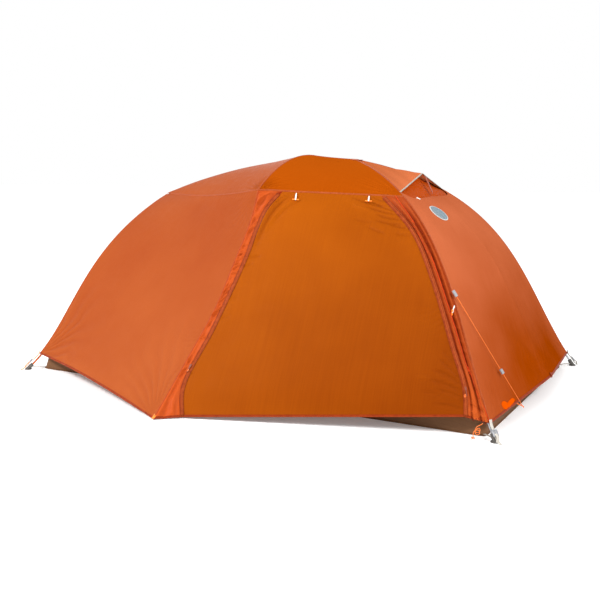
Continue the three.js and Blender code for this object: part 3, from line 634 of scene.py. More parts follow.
def cloudy(x, y, size, seed):
    """Smooth noise from -1 to 1 over a plane, with lumps of a given size."""
    grid = np.random.RandomState(seed).uniform(-1, 1, (NOISE_CELLS, NOISE_CELLS))
    x, y = x / size + 31.7, y / size + 17.3
    i, j = np.floor(x).astype(int), np.floor(y).astype(int)
    a, b = x - i, y - j
    a, b = a * a * (3 - 2 * a), b * b * (3 - 2 * b)
    corner = lambda p, q: grid[p % NOISE_CELLS, q % NOISE_CELLS]
    low = corner(i, j) * (1 - a) + corner(i + 1, j) * a
    high = corner(i, j + 1) * (1 - a) + corner(i + 1, j + 1) * a
    return low * (1 - b) + high * b


def rise(value, width):
    """From 0 at value 0 smoothly up to 1 at width."""
    t = np.clip(value / width, 0, 1)
    return t * t * (3 - 2 * t)


panels = {}
CORE = np.array((0.05, 0, 0.25))  # A point inside the tent; outward is away from it.


def panel(
    name, surface, pitch, relief, tone, material, slot, node, body=TENT, side=1, seed=1, crease_shading_gain=0.0
):
    """A sewn piece of cloth as a fine grid, with its creases in its shape, painted shade in their hollows and
    painted light on their crests.
    """
    probe_u, probe_v = np.meshgrid(np.linspace(0, 1, 24), np.linspace(0, 1, 24))
    probe = surface(probe_u, probe_v)
    wide = length(np.diff(probe, axis=1)).sum(axis=(1, 2)).max()
    tall = length(np.diff(probe, axis=0)).sum(axis=(0, 2)).max()
    columns, rows = (max(4, int(round(d / pitch))) for d in (wide, tall))
    columns += columns % 2
    u, v = np.meshgrid(np.linspace(0, 1, columns + 1), np.linspace(0, 1, rows + 1))
    p = surface(u, v)
    across, up = np.gradient(p, axis=1), np.gradient(p, axis=0)
    n = unit(np.cross(across, up))
    outward = np.sign(np.sum(n * (p - CORE), axis=-1).mean())
    n = n * outward
    x = np.concatenate([0 * u[:, :1], np.cumsum(length(np.diff(p, axis=1))[..., 0], axis=1)], axis=1)
    y = np.concatenate([0 * u[:1], np.cumsum(length(np.diff(p, axis=0))[..., 0], axis=0)], axis=0)
    w, h = x[:, -1:] + 0 * x, y[-1:, :] + 0 * y
    folds_out = relief(x, y, w, h, seed)
    p = p + n * folds_out[..., None]
    # Painted shading: the tone function's painted light and shade, plus painted shade in fold hollows and
    # painted light on fold crests.
    shade = tone(u, v) + np.clip(folds_out * crease_shading_gain, -0.35, 0.25)
    if side < 0:
        p = mirror(p)
    k = columns + 1
    index = np.arange((rows + 1) * k).reshape(rows + 1, k)
    quads = np.stack([index[:-1, :-1], index[:-1, 1:], index[1:, 1:], index[1:, :-1]], -1).reshape(-1, 4)
    if outward * side < 0:
        quads = quads[:, ::-1]
    uv = np.stack([x, y], -1).reshape(-1, 2)
    made = make_mesh(name, p.reshape(-1, 3), quads.tolist(), material, uv, shade, body, slot, node)
    panels[name] = {"points": p.reshape(-1, 3), "faces": quads, "object": made}
    base = surface(u, v)
    area = 0.5 * length(np.cross(base[1:, 1:] - base[:-1, :-1], base[1:, :-1] - base[:-1, 1:])).sum()
    size = (round(float(w.max()), 3), round(float(h.max()), 3))
    area = min(round(float(area), 4), size[0] * size[1])
    return made


def pucker(depth, along, reach, pitch, height, seed):
    """Short ripples square to a sewn edge, in patches along it."""
    patchy = np.clip(cloudy(along, along * 0, 0.11, seed) * 1.3 + 0.35, 0, 1)
    wave = np.sin(2 * np.pi * (along + 0.3 * depth) / pitch + 3 * cloudy(along, depth, 0.08, seed + 1))
    return height * patchy * wave * np.exp(-depth / reach) * rise(depth, 0.008)


def crease(x, y, start, end, bend, width, height):
    """One soft fold between two points in the cloth's own millimetres, bent sideways in the middle."""
    a, b = np.array(start) / 1000, np.array(end) / 1000
    d = b - a
    span = np.hypot(*d)
    t = ((x - a[0]) * d[0] + (y - a[1]) * d[1]) / span**2
    off = ((x - a[0]) * d[1] - (y - a[1]) * d[0]) / span
    off = off - bend / 1000 * 4 * t * (1 - t)
    ends = rise(t + 0.15, 0.4) * rise(1.15 - t, 0.4)
    return height / 1000 * np.exp(-1.3 * np.abs(off) / (width / 1000)) * ends


def fan(x, y, reach, count, height, seed):
    """Folds that spread from a corner at the origin of x and y."""
    r, angle = np.hypot(x, y), np.arctan2(y, x)
    wave = np.sin(count * angle + 2.5 * cloudy(angle * 0.2, r, 0.09, seed))
    return height / 1000 * wave * (r / (reach * 0.35)) * np.exp(1 - r / (reach * 0.35)) * rise(r, 0.01)


def waves(x, y, w, h, seed, height=0.003, size=0.3):
    """Broad slack, still at the edges."""
    broad, fine = cloudy(x, y, size, seed), cloudy(x, y, size * 0.35, seed + 5)
    return (broad + 0.22 * fine) * height * rise(np.minimum.reduce((x, w - x, y, h - y)), 0.09)


def relief_of(slack, puckers=(), fans=(), still=("left", "right", "top"), fade=0.012):
    """A relief of slack, ripples along named edges and folds out of named corners.

    Each ripple holds its edge, reach, pitch, height and seed; each fan its corner, reach, count,
    height and seed. The cloth lies still along the seams, from which the relief fades in.
    """
    def relief(x, y, w, h, seed):
        right, top = w - x, h - y
        edges = {"left": (x, y), "right": (right, y), "top": (top, x), "bottom": (y, x)}
        corners = {"left": (x, y), "right": (right, y), "top": (right, top), "middle": (x - w / 2, y)}
        field = waves(x, y, w, h, seed, *slack)
        for kind, places, folds in ((pucker, edges, puckers), (fan, corners, fans)):
            for place, *sizes, own_seed in folds:
                field = field + kind(*places[place], *sizes, seed + own_seed)
        return field * rise(np.minimum.reduce([edges[edge][0] for edge in still]), fade)
    return relief


# Each list of drawn folds holds start, end, bend, width and height in millimetres.
DOOR_UPPER = (
    ((62, 40), (2, 108), 3, 7, -4.4), ((128, 18), (14, 74), 5, 7, -4.2), ((90, 72), (4, 132), 4, 7, -4.8),
    ((84, 116), (3, 168), 4, 8, -5.0), ((160, 172), (112, 222), 3, 8, -3.0), ((40, 10), (4, 44), 2, 6, -3.2),
    ((110, 142), (14, 196), 6, 8, -4.4), ((62, 182), (4, 222), 2, 7, -3.8), ((150, 56), (96, 84), 2, 9, 3.0),
    ((190, 130), (120, 156), 4, 9, -2.2), ((70, 232), (6, 262), 3, 7, -2.6),
)
DOOR_LOWER = (
    ((55, 215), (3, 132), 4, 7, -3.6), ((88, 175), (3, 116), 6, 8, -4.4), ((122, 138), (3, 86), 7, 8, -4.6),
    ((96, 98), (2, 66), 4, 7, -4.0), ((110, 46), (2, 26), 3, 7, -3.4), ((150, 92), (70, 70), 4, 9, -2.4),
    ((34, 250), (4, 190), 3, 7, -2.4), ((160, 150), (96, 128), 5, 9, 2.0),
)
DOOR_LEFT = (
    ((16, 12), (5, 235), -5, 8, 4.6), ((48, 26), (20, 265), -8, 10, -5.0), ((82, 52), (32, 215), -8, 12, 3.6),
    ((118, 30), (60, 160), -6, 12, -2.2), ((6, 330), (56, 314), 2, 6, -2.8),
    ((4, 372), (36, 352), 2, 6, -2.2), ((6, 520), (40, 506), 2, 6, -1.8), ((6, 610), (44, 590), 2, 7, -1.6),
)
FOLD_GAIN = 1.5
door_slack = relief_of(
    (0.004, 0.34),
    (("right", 0.04, 0.026, 0.0016, 2), ("left", 0.03, 0.028, 0.0013, 3), ("top", 0.05, 0.030, 0.0010, 4)),
)
ALL_ROUND = ("left", "right", "top", "bottom")
side_relief = relief_of(
    (0.005, 0.4),
    (("right", 0.060, 0.022, 0.0020, 2), ("top", 0.03, 0.024, 0.0012, 3), ("left", 0.03, 0.028, 0.0012, 4)),
    (("top", 0.16, 34, 1.2, 6), ("left", 0.3, 24, 3.2, 7), ("right", 0.3, 26, 2.6, 8)),
)
roof_relief = relief_of(
    (0.002, 0.22),
    (("bottom", 0.04, 0.022, 0.0016, 4), ("top", 0.03, 0.026, 0.0005, 5), ("left", 0.03, 0.02, 0.0011, 6)),
    (("left", 0.075, 24, 6.0, 2), ("right", 0.12, 30, 2.0, 3)), ALL_ROUND, 0.01,
)
foot_roof_relief = relief_of(
    (0.002, 0.22), (("bottom", 0.03, 0.022, 0.0007, 3), ("right", 0.03, 0.02, 0.0010, 4)),
    (("right", 0.09, 26, 4.2, 2),), ALL_ROUND, 0.01,
)
end_relief = relief_of(
    (0.005, 0.42), (("left", 0.035, 0.026, 0.0008, 2), ("right", 0.035, 0.026, 0.0008, 3)),
    (("left", 0.3, 13, 1.4, 4), ("right", 0.3, 13, 1.4, 5), ("middle", 0.3, 12, 1.6, 6)),
)


def door_relief(x, y, w, h, seed):
    """The door's slack and ripples, with its drawn folds over them."""
    right, top = w - x, h - y
    drawn = 0 * x
    for folds, across, down in ((DOOR_UPPER, right, top), (DOOR_LOWER, right, y), (DOOR_LEFT, x, top)):
        for start, end, bend, width, height in folds:
            drawn = drawn + crease(across, down, start, end, bend, width, FOLD_GAIN * height)
    return door_slack(x, y, w, h, seed) + drawn * rise(np.minimum.reduce((x, right, top)), 0.012)


def ridges(value):
    """Sharp crests where smooth noise crosses nought, from 0 up to 1."""
    return (1 - np.minimum(np.abs(value) * 2.2, 1)) ** 1.4


def foot_flap_relief(x, y, w, h, seed):
    """Crumples in chevrons, and long folds near the foot of the strip."""
    share = x / np.maximum(w, 1e-6)
    lean = cloudy(y, y * 0, 0.19, seed + 7) * 0.8
    one = ridges(cloudy(x + (0.55 + lean) * y, (y - 0.6 * x) * 0.7, 0.046, seed))
    two = ridges(cloudy(x - (0.7 - lean) * y, (y + 0.8 * x) * 0.6, 0.054, seed + 1))
    crumple = 0.0105 * one + 0.0080 * two + 0.0022 * cloudy(x, y, 0.016, seed + 2)
    crumple = crumple * np.clip(0.85 + 0.5 * cloudy(x, y, 0.14, seed + 3), 0.25, 1.2)
    folds = 0.0050 * np.sin(2 * np.pi * (1.9 * share + 0.12 * cloudy(y, x, 0.2, seed + 4)) + 0.6)
    low = rise(0.42 - y, 0.3)
    field = crumple * (1 - 0.65 * low) + folds * (0.35 + 0.65 * low)
    return field * rise(np.minimum(x, 0.28 * (w - x)), 0.014) * rise(h - y, 0.02) * rise(y + 0.01, 0.03)


def head_flap_relief(x, y, w, h, seed):
    """Pleats that run the strip's length and gather at the corner."""
    share = x / np.maximum(w, 1e-6)
    lean = share + 0.07 * cloudy(y, x, 0.22, seed)
    field = 0.0058 * np.sin(2 * np.pi * 2.6 * lean + 0.8) * rise(h - y, 0.10)
    field = field + 0.0030 * np.sin(2 * np.pi * 6.0 * lean + 1.0) * rise(0.46 - y, 0.34)
    cross = ridges(cloudy(x + 0.9 * y, (y - 0.9 * x) * 0.5, 0.030, seed + 2))
    field = field + 0.0030 * cross * np.clip(0.5 + cloudy(x, y, 0.2, seed + 3), 0, 1)
    gather = crease(x, y, (4, 34), (90, 20), 3, 6, 6.0) + crease(x, y, (10, 52), (80, 36), -3, 6, -5.0)
    return (field + gather) * rise(np.minimum(0.35 * x, w - x), 0.012)


def hood_relief(x, y, w, h, seed):
    field = waves(x, y, w, h, seed, 0.002, 0.2) + 0.0012 * np.sin(2 * np.pi * x / 0.09) * rise(y, 0.2)
    return field * rise(np.minimum.reduce((x, w - x, y, h - y)), 0.01)


def flat_relief(x, y, w, h, seed):
    return waves(x, y, w, h, seed, 0.004, 0.25)


def wall_relief(x, y, w, h, seed):
    """Slack that only hangs inwards."""
    return -np.abs(waves(x, y, w, h, seed, 0.004, 0.3))


def even_tone(u, v):
    return 0.5 + 0 * u


def door_painted_shading(u, v):
    """Painted light and shade: lighter at the top and at the lower left, with painted shade at the lower
    right.
    """
    low_left = 0.34 * rise(1 - u, 1.0) * rise(1 - v, 1.0)
    return 0.16 + 0.62 * rise(v, 1.0) + low_left - 0.22 * rise(u, 1.0) * (1 - v)


# Painted light: lighter low down, darker towards the top, and a little lighter towards the right edge.
def side_painted_shading(u, v):
    return 0.62 - 0.24 * rise(v, 1.0) + 0.1 * u


def head_end_painted_shading(u, v):
    """Painted light and shade: lighter at the top and in both lower corners, with painted shade low in the
    middle.
    """
    low_corners = 0.4 * (2 * np.abs(u - 0.5)) ** 3 * (1 - v)
    return 0.02 + 0.86 * rise(v, 0.95) + low_corners - 0.1 * rise(v - 0.8, 0.2)


# Painted light: lighter low down, most towards the zip, and a little lighter at the top.
def head_strip_painted_shading(u, v):
    return 0.36 + 0.6 * rise(0.32 - v, 0.3) * (1 - 0.4 * u) + 0.2 * rise(v - 0.75, 0.25)


# Painted light: lighter from the panel's bottom edge to its top edge, which on the roof is the ridge.
def roof_painted_light(u, v):
    return 0.35 + 0.4 * v


# Painted light and shadow: lighter low down and across the middle, with a painted shadow along the door side
# higher up.
def foot_strip_painted_shading(u, v):
    return 0.62 + 0.3 * (1 - v) + 0.25 * np.sin(np.pi * u) - 0.9 * rise(u - 0.78, 0.22) * rise(v, 0.5)


hub_edge = stretch(head_seam, SHOULDER, ROOF_START)
split_roof = patch(line(BROW_TIP, shoulder), ridge_head, brow_seam, hub_edge)
foot_roof = patch(eave_seam, ridge_foot, line(FOOT_PEAK, FOOT_PEAK), brow_seam)
RISE = P(0, 0, 14)
foot_hem = smooth(
    foot_corner, foot_corner + 0.36 * (APEX - foot_corner) + RISE,
    foot_corner + 0.72 * (APEX - foot_corner) + 0.8 * RISE, APEX,
)
foot_side = patch(foot_hem, eave_seam, stretch(foot_seam, FOOT_CORNER, 0), vestibule_seam)
foot_flap = patch(line(APEX, DOOR_HEM_FOOT), line(BROW_TIP, door_top_foot), vestibule_seam, foot_zip)
door = patch(line(DOOR_HEM_FOOT, DOOR_HEM_HEAD), line(door_top_foot, door_top_head), foot_zip, head_zip)
head_flap = patch(
    line(DOOR_HEM_HEAD, head_corner), line(door_top_head, shoulder), head_zip,
    stretch(head_seam, HEAD_CORNER, SHOULDER),
)
head_end = wall(end_hem(head_corner, HEM_REACH), vent_edge, stretch(head_seam, HEAD_CORNER, VENT))
corner_to_top = stretch(foot_seam, FOOT_CORNER, 0.02)
foot_end = wall(end_hem(foot_corner, -HEM_REACH), span(corner_to_top[-1]), corner_to_top)
hub_to_vent = stretch(head_seam, ROOF_START + 0.01, VENT)
taut_hood = wall(span(hub_to_vent[0]), hood_edge, hub_to_vent)


def centre_roof(u, v):
    """The roof over the door, drawn in at the hub so that both sides meet on the ridge."""
    return split_roof(u, v) + (u * v**6)[..., None] * (ridge_head[-1] - hub_edge[-1])


def hood(u, v):
    sag = 0.018 * np.sin(np.pi * u) * np.sin(np.pi * v)
    return taut_hood(u, v) - sag[..., None] * (0, 0, 1)


# The panels of one side: name, surface, pitch, relief, painted light and shade, material, slot and the gain
# of the painted shade and light on folds.
SIDE_PANELS = (
    ("fly_centre_roof", centre_roof, 0.0042, roof_relief, roof_painted_light, ROOF, "fly_orange", 40.0),
    ("fly_foot_roof", foot_roof, 0.0055, foot_roof_relief, even_tone, SHEEN_SALMON, "fly_salmon", 40.0),
    ("fly_foot_side", foot_side, 0.0065, side_relief, side_painted_shading, SHEEN_SALMON, "fly_salmon", 40.0),
    ("foot_storm_flap", foot_flap, 0.004, foot_flap_relief, foot_strip_painted_shading, FLAP, "fly_flap", 30.0),
    ("door", door, 0.0048, door_relief, door_painted_shading, ORANGE, "fly_orange", 45.0),
    ("head_storm_flap", head_flap, 0.004, head_flap_relief, head_strip_painted_shading, FLAP_HEAD, "fly_flap", 40.0),
)
for side_name, side in SIDES.items():
    for name, surface, pitch, relief, tone, material, slot, crease_shading_gain in SIDE_PANELS:
        body = side_name + "_door" if name == "door" else TENT
        panel(
            f"{name}_cloth_{side_name}", surface, pitch, relief, tone, material, slot, f"{name}_{side_name}",
            body, side, SEEDS[side_name], crease_shading_gain,
        )
for node, surface, pitch, relief, tone, material, seed in (
    ("fly_head_end", head_end, 0.008, end_relief, head_end_painted_shading, SHEEN_SALMON_HEAD, 110),
    ("fly_foot_end", foot_end, 0.008, end_relief, side_painted_shading, SHEEN_SALMON, 120),
    ("vent_hood", hood, 0.006, hood_relief, roof_painted_light, SHEEN_HOOD, 130),
):
    panel(node + "_cloth", surface, pitch, relief, tone, material, "fly_salmon", node, seed=seed)


# ---- pieces laid on the fly ----
def skin_of(*names):
    """The fly panels as one surface to lay things on."""
    points, faces, count = [], [], 0
    for name in names:
        found = panels[name]
        points.append(found["points"])
        faces.append(found["faces"] + count)
        count += len(points[-1])
    return BVHTree.FromPolygons(np.vstack(points).tolist(), np.vstack(faces).tolist())


skin = skin_of(*[name for name in panels if name != "vent_hood_cloth"])
hood_skin = skin_of("vent_hood_cloth")


def on_skin(points, surface=skin):
    """The places level with the nearest cloth, and the cloth's outward direction at each."""
    places, normals = [], []
    for q in np.asarray(points).reshape(-1, 3):
        place, normal, _, _ = surface.find_nearest(Vector(q))
        place, normal = np.array(place), np.array(normal)
        normal = normal if normal @ (place - CORE) > 0 else -normal
        places.append(q - normal * ((q - place) @ normal))
        normals.append(normal)
    shape = np.shape(points)
    return np.reshape(places, shape), np.reshape(normals, shape)


def tape(
    name, curve, low, high, material, lift=0.0009, under=0.0006, count=6, pitch=0.008, surface=skin, **rest
):
    """Tape sewn along a curve on the fly, from low to high metres to its side."""
    middle = paced(curve, pitch)
    tangent = unit(np.gradient(middle, axis=0))
    _, normal = on_skin(middle, surface)
    across = unit(np.cross(normal, tangent))
    offsets = np.linspace(low, high, count)
    places, normals = on_skin(middle[:, None] + across[:, None] * offsets[None, :, None], surface)
    crown = np.full(count, lift)
    crown[0] = crown[-1] = lift * 0.35
    top = places + normals * crown[None, :, None]
    bottom = places - normals * under
    points = np.concatenate([bottom, top[:, ::-1]], axis=1)
    share = (offsets - low) / (high - low)
    return section_mesh(name, points, np.concatenate([share, share[::-1]]), run_of(middle), material, **rest)


def sewn_down(points, lift):
    """Points laid on the nearest cloth and lifted off it."""
    level, out = on_skin(points)
    return level + out * lift


def let_down(points, lift):
    """Points let down from above onto the topmost cloth, for where panels meet at an edge."""
    level = np.array(points)
    for point in level:
        above = Vector((point[0], point[1], 2.0))
        hits = [surface.ray_cast(above, Vector((0, 0, -1)))[0] for surface in (skin, hood_skin)]
        point[2] = lift + max([hit.z for hit in hits if hit] + [hub_edge[-1][2] - 0.003])
    return level


def cloth_patch(name, outline, middle, layers, material, slot, settle=sewn_down):
    """A small patch sewn on the fly. Each layer holds its share of the outline and its lift."""
    rings = np.array([settle(middle + share * (outline - middle), lift) for share, lift in layers])
    run = np.arange(len(rings)) * 0.004
    return section_mesh(name, rings, np.linspace(0, 1, len(outline)), run, material, slot=slot)


def on_side(curve, side):
    """A front curve as it is, or mirrored to the back and run the other way."""
    return curve if side > 0 else mirror(curve)[::-1]


def surface_at(surface, u, v):
    """Points of a panel, given as two lists of shares."""
    return surface(np.asarray(u, float), np.asarray(v, float))


FLY = {"slot": "fly_salmon"}
FLAPS = {"slot": "fly_flap"}
HEM_TAPE = {"low": -0.0010, "high": 0.0085, "lift": 0.0013, "under": 0.0013}
SEAM_WIDTH, STRIP_SEAM_WIDTH, DOOR_TOP_WIDTH, RIDGE_WIDTH = 0.008, 0.0065, 0.009, 0.009
LIP_DOOR, LIP_FLAP, TEETH = 0.0035, 0.0135, 0.0032
ZIP_START, ZIP_END = 0.004, 0.978
RIDGE_WITHOUT_ENDS = slice(8, -4)
# The piping's way up the head strip, in shares across and up the strip.
PIPING = (
    (1.0, 0.0), (0.9, 0.05), (0.76, 0.11), (0.66, 0.175), (0.57, 0.265), (0.49, 0.365), (0.47, 0.485),
    (0.48, 0.55), (0.45, 0.62), (0.41, 0.72), (0.47, 0.84), (0.56, 0.92), (0.64, 1.0),
)
for side_name, side in SIDES.items():
    tail = "_" + side_name
    door_body = side_name + "_door"
    for name, curve, width, material in (
        ("head_seam_tape", stretch(head_seam, HEAD_CORNER, VENT), SEAM_WIDTH, SEAM),
        ("foot_seam_tape", stretch(foot_seam, FOOT_CORNER, 0.03), SEAM_WIDTH, SEAM),
        ("eave_seam_tape", stretch(eave_seam, 0.05, 1), SEAM_WIDTH, SEAM),
        ("brow_seam_tape", stretch(brow_seam, 0, 1), SEAM_WIDTH, SEAM),
        ("vestibule_seam_tape", vestibule_seam, STRIP_SEAM_WIDTH, SEAM_STRIP),
        ("door_top_tape", line(BROW_TIP, shoulder), DOOR_TOP_WIDTH, SEAM),
        ("roof_seam_tape", stretch(head_seam, VENT, ROOF_START), RIDGE_WIDTH, SEAM),
    ):
        tape(name + tail, on_side(curve, side), -width / 2, width / 2, material, **FLY)
    piping = smooth(*surface_at(head_flap, *zip(*PIPING)))
    tape("strip_piping" + tail, on_side(piping, side), -0.0018, 0.0018, SEAM_RED, 0.0020, count=4, **FLAPS)
    for name, curve, body, slot in (
        ("foot_side_hem", foot_hem, TENT, "fly_salmon"),
        ("foot_flap_hem", line(APEX, DOOR_HEM_FOOT), TENT, "fly_flap"),
        ("head_flap_hem", line(DOOR_HEM_HEAD, head_corner), TENT, "fly_flap"),
        ("door_hem", line(DOOR_HEM_FOOT, DOOR_HEM_HEAD), door_body, "fly_orange"),
    ):
        tape(name + tail, on_side(curve, side), material=HEM, body=body, slot=slot, **HEM_TAPE)
    for name, curve, door_side in (("foot", foot_zip, -1), ("head", head_zip, 1)):
        run = on_side(stretch(curve, ZIP_START, ZIP_END), side)
        low, high = sorted((door_side * LIP_DOOR, -door_side * LIP_FLAP))
        tape(f"{name}_zip_lip{tail}", run, low, high, LIP, 0.0042, -0.0020, body=door_body, **FLAPS)
        low, high = sorted((0.0, door_side * TEETH))
        teeth = {"material": COIL, "lift": 0.0016, "slot": "zip_metal", "count": 3}
        tape(f"{name}_zip_teeth_door{tail}", run, low, high, body=door_body, **teeth)
        tape(f"{name}_zip_teeth_flap{tail}", run, -high, -low, **teeth)
tape("head_end_hem", end_hem(head_corner, HEM_REACH), material=HEM, **HEM_TAPE, **FLY)
tape("foot_end_hem", end_hem(foot_corner, -HEM_REACH)[::-1], material=HEM, **HEM_TAPE, **FLY)
whole_ridge = np.vstack([ridge_foot[:-1], ridge_head])
tape("ridge_seam_tape", whole_ridge[RIDGE_WITHOUT_ENDS], -RIDGE_WIDTH / 2, RIDGE_WIDTH / 2, SEAM, **FLY)


# ---- vent ----
# The upward normal of the plane through the hood's root and its two corners at the vent.
fold_origin = hub_to_vent[0]
fold_up = np.cross(vent_point - fold_origin, mirror(vent_point) - fold_origin)
fold_up = unit(fold_up if fold_up[2] > 0 else -fold_up)
piping = tape(
    "vent_hood_piping", paced(hood_edge, 0.008), -0.0020, 0.0045, GREY_WEB, 0.0014, 0.0014, surface=hood_skin,
    slot="webbing_grey",
)
# The orange cloth under the hood, from the head wall's top edge up to the hood's underside.
GUSSET_TRIM, GUSSET_ON_HOOD = 0.02, 0.86
along_hood = GUSSET_TRIM + (1 - 2 * GUSSET_TRIM) * T
gusset_top = surface_at(hood, along_hood, GUSSET_ON_HOOD + 0 * T) - (0, 0, 0.008)
gusset_low = stretch(vent_edge, GUSSET_TRIM, 1 - GUSSET_TRIM) - (0.004, 0, 0.003)
gusset = patch(
    gusset_low, gusset_top, line(gusset_low[0], gusset_top[0]), line(gusset_low[-1], gusset_top[-1])
)
vent_lining = panel(
    "vent_lining", gusset, 0.012, flat_relief, even_tone, VENT_NET, "inner_mesh", "vent_mesh", seed=140
)
tab_root = surface_at(gusset, [0.16], [0.05])[0]
sweep(
    "vent_pull_tab", tab_root + P(4, -4, 2) + np.array([P(0, 0, 0), P(10, 6, -6), P(12, 16, -8)]),
    band(0.007, 0.0012), WHITE_WEB, across=(0, 0, 1), slot="anchor_white",
)


# A small round patch covers the place where the ridge and both roof seams meet.
HUB_CAP_LAYERS = ((1.0, -0.0004), (1.0, 0.0010), (0.92, 0.0016), (0.5, 0.0018), (0.04, 0.0018))
angle = np.arange(32) * 2 * np.pi / 32
outline = ridge_head[-1] + np.stack([0.030 * np.cos(angle), 0.024 * np.sin(angle), 0 * angle], -1)
cloth_patch("hub_cap", outline, ridge_head[-1], HUB_CAP_LAYERS, SEAM, "fly_orange", let_down)
for piece in (panels["vent_hood_cloth"]["object"], piping, vent_lining):
    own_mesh(piece)
STRUT_BASE, STRUT_TOP = P(671, 0, 858), P(632, 0, 938)
strut_path = paced([STRUT_BASE, STRUT_TOP], 0.006)
sweep(
    "vent_strut_blade", strut_path, band(0.016, 0.0022), STRUT_TAPE, across=(0, 1, 0),
    scale=rounded(len(strut_path)), body="strut", slot="fly_flap", replaces="vent_strut",
)


# ---- poles ----
POLE_RADIUS = 0.0045
IN_SOCKET, IN_FOOT = 0.0135, 0.006
FERRULES = {"head_leg": (0.25, 0.5, 0.75), "foot_leg": (0.3, 0.62), "ridge": (0.35, 0.68), "brow": (0.5,)}


def pole(kind, curve, start, end, material, slot, tail=""):
    """A pole of tube sections, a little thicker where a ferrule joins two of them."""
    total = run_of(curve)[-1]
    middle = paced(stretch(curve, start / total, 1 - end / total), 0.008)
    place = run_of(middle) / run_of(middle)[-1]
    scale = np.ones(len(middle))
    for joint in FERRULES[kind]:
        near = np.abs(place - joint) * total
        scale = np.where((near < 0.035) & (near > 0.004), 1.1, scale)
    return sweep(
        f"{kind}_tube{tail}", middle, disc(POLE_RADIUS), material, scale=scale, slot=slot,
        replaces=f"{kind}_pole{tail}",
    )


for side_name, side in SIDES.items():
    flip = (1, side, 1)
    pole("head_leg", head_leg * flip, IN_SOCKET, IN_FOOT, SILVER, "tube_silver", "_" + side_name)
    pole("foot_leg", foot_leg * flip, IN_SOCKET, IN_FOOT, BRONZE, "tube_orange", "_" + side_name)
pole("ridge", ridge_axis, IN_SOCKET, IN_SOCKET, SILVER, "tube_silver")
pole("brow", cross_axis, 0, 0, BRONZE, "tube_orange")


# ---- inner tent ----
FLOOR_X, HEAD_Y, FOOT_Y, TUB_WALL, TUB_LEAN, CUT = 1.1175, 0.66, 0.535, 0.11, 0.024, 0.016
RING_POINTS = 348


def floor_ring(height, inset):
    """The tub's outline at a height, with its corners cut off."""
    h, f, x, c = HEAD_Y - inset, FOOT_Y - inset, FLOOR_X - inset, CUT
    head = [(x, c - h), (x, h - c), (x - c, h)]
    foot = [(c - x, f), (-x, f - c), (-x, c - f), (c - x, -f)]
    corners = np.array([*head, *foot, (x - c, -h), head[0]])
    return spaced(np.column_stack([corners, np.full(len(corners), height)]), RING_POINTS)[:-1]


def tub():
    """The floor and its leaning walls as one skin, with slack between the corners."""
    rows = []
    for share in np.linspace(0.02, 1, 26):
        ring = floor_ring(0, 0) * (share, share, 1)
        ring[:, 2] = 0.0012 + 0.0016 * (1 + cloudy(ring[:, 0], ring[:, 1], 0.16, 150)) * (share < 0.98)
        rows.append(ring)
    for share in np.linspace(0.06, 1, 12):
        ring = floor_ring(TUB_WALL * share, TUB_LEAN * share)
        run = np.arange(RING_POINTS) * 0.02
        out = unit(ring * (1, 1, 0))
        slack = 0.0030 * cloudy(run, ring[:, 2], 0.07, 151) + 0.0016 * cloudy(run, ring[:, 2], 0.025, 152)
        rows.append(ring + out * (slack * math.sin(math.pi * share))[:, None])
    points = np.array(rows)
    n, m = points.shape[:2]
    faces = [*ring_faces(n, m), tuple(range(m))]
    flat = points[..., :2] * (1 + points[..., 2:] / np.maximum(length(points[..., :2]), 0.01))
    tone = np.full(n * m, 0.5)
    piece = make_mesh(
        "tub_cloth", points.reshape(-1, 3), faces, TUB, flat.reshape(-1, 2), tone, slot="tub_cloth",
        replaces="bathtub_floor",
    )
    rim = floor_ring(TUB_WALL, TUB_LEAN)
    sweep("tub_rim_tape", rim, band(0.004, 0.010), TUB_SEAM, looped=True, slot="tub_cloth")
    foot = floor_ring(0.004, -0.0006)
    sweep("tub_floor_seam", foot, band(0.003, 0.005), TUB_SEAM, looped=True, slot="tub_cloth")


tub()


CANOPY_DROP, CANOPY_INSET, RIDGE_DROP = 28, 0.006, 0.003


def canopy_seam(leg_curve, start, end, corner):
    """The inner tent's edge under a leg, led at its low end to the tub's corner."""
    seam = lifted(leg_curve, -CANOPY_DROP)
    place = at(seam, end + (start - end) * T)
    return place + (corner - at(seam, end)) * ((1 - T) ** 6)[:, None]


INSET = TUB_LEAN + CANOPY_INSET
head_low = np.array((FLOOR_X - INSET, INSET + CUT / 2 - HEAD_Y, TUB_WALL + 0.002))
foot_low = np.array((INSET - FLOOR_X, INSET + CUT / 2 - FOOT_Y, TUB_WALL + 0.002))
head_inner = canopy_seam(head_leg, 0.03, 0.86, head_low)
foot_inner = canopy_seam(foot_leg, 0.04, 0.84, foot_low)
ridge_ends = [inner[-1] * (1, 0, 1) - (0, RIDGE_DROP, 0) for inner in (foot_inner, head_inner)]
ridge_inner = line(*ridge_ends)
side_wall = patch(line(foot_low, head_low), ridge_inner, foot_inner, head_inner)
head_wall = wall(span(head_low), span(head_inner[-1]), head_inner)
foot_wall = wall(span(foot_low), span(foot_inner[-1]), foot_inner)
for name, surface, node, side in (
    ("inner_side_cloth_front", side_wall, "inner_side_wall_front", 1),
    ("inner_side_cloth_back", side_wall, "inner_side_wall_back", -1),
    ("inner_head_cloth", head_wall, "inner_head_wall", 1),
    ("inner_foot_cloth", foot_wall, "inner_foot_wall", 1),
):
    panel(name, surface, 0.03, wall_relief, even_tone, NET, "inner_mesh", node, side=side, seed=160)
for side_name, side in SIDES.items():
    turn = np.linspace(0.12, 0.88, 60)
    arch = surface_at(side_wall, turn, 0.06 + 0.62 * np.sin((turn - 0.12) / 0.76 * np.pi) ** 0.55)
    sweep("inner_door_zip_" + side_name, arch * (1, side, 1), band(0.012, 0.0024), COIL, slot="zip_metal")


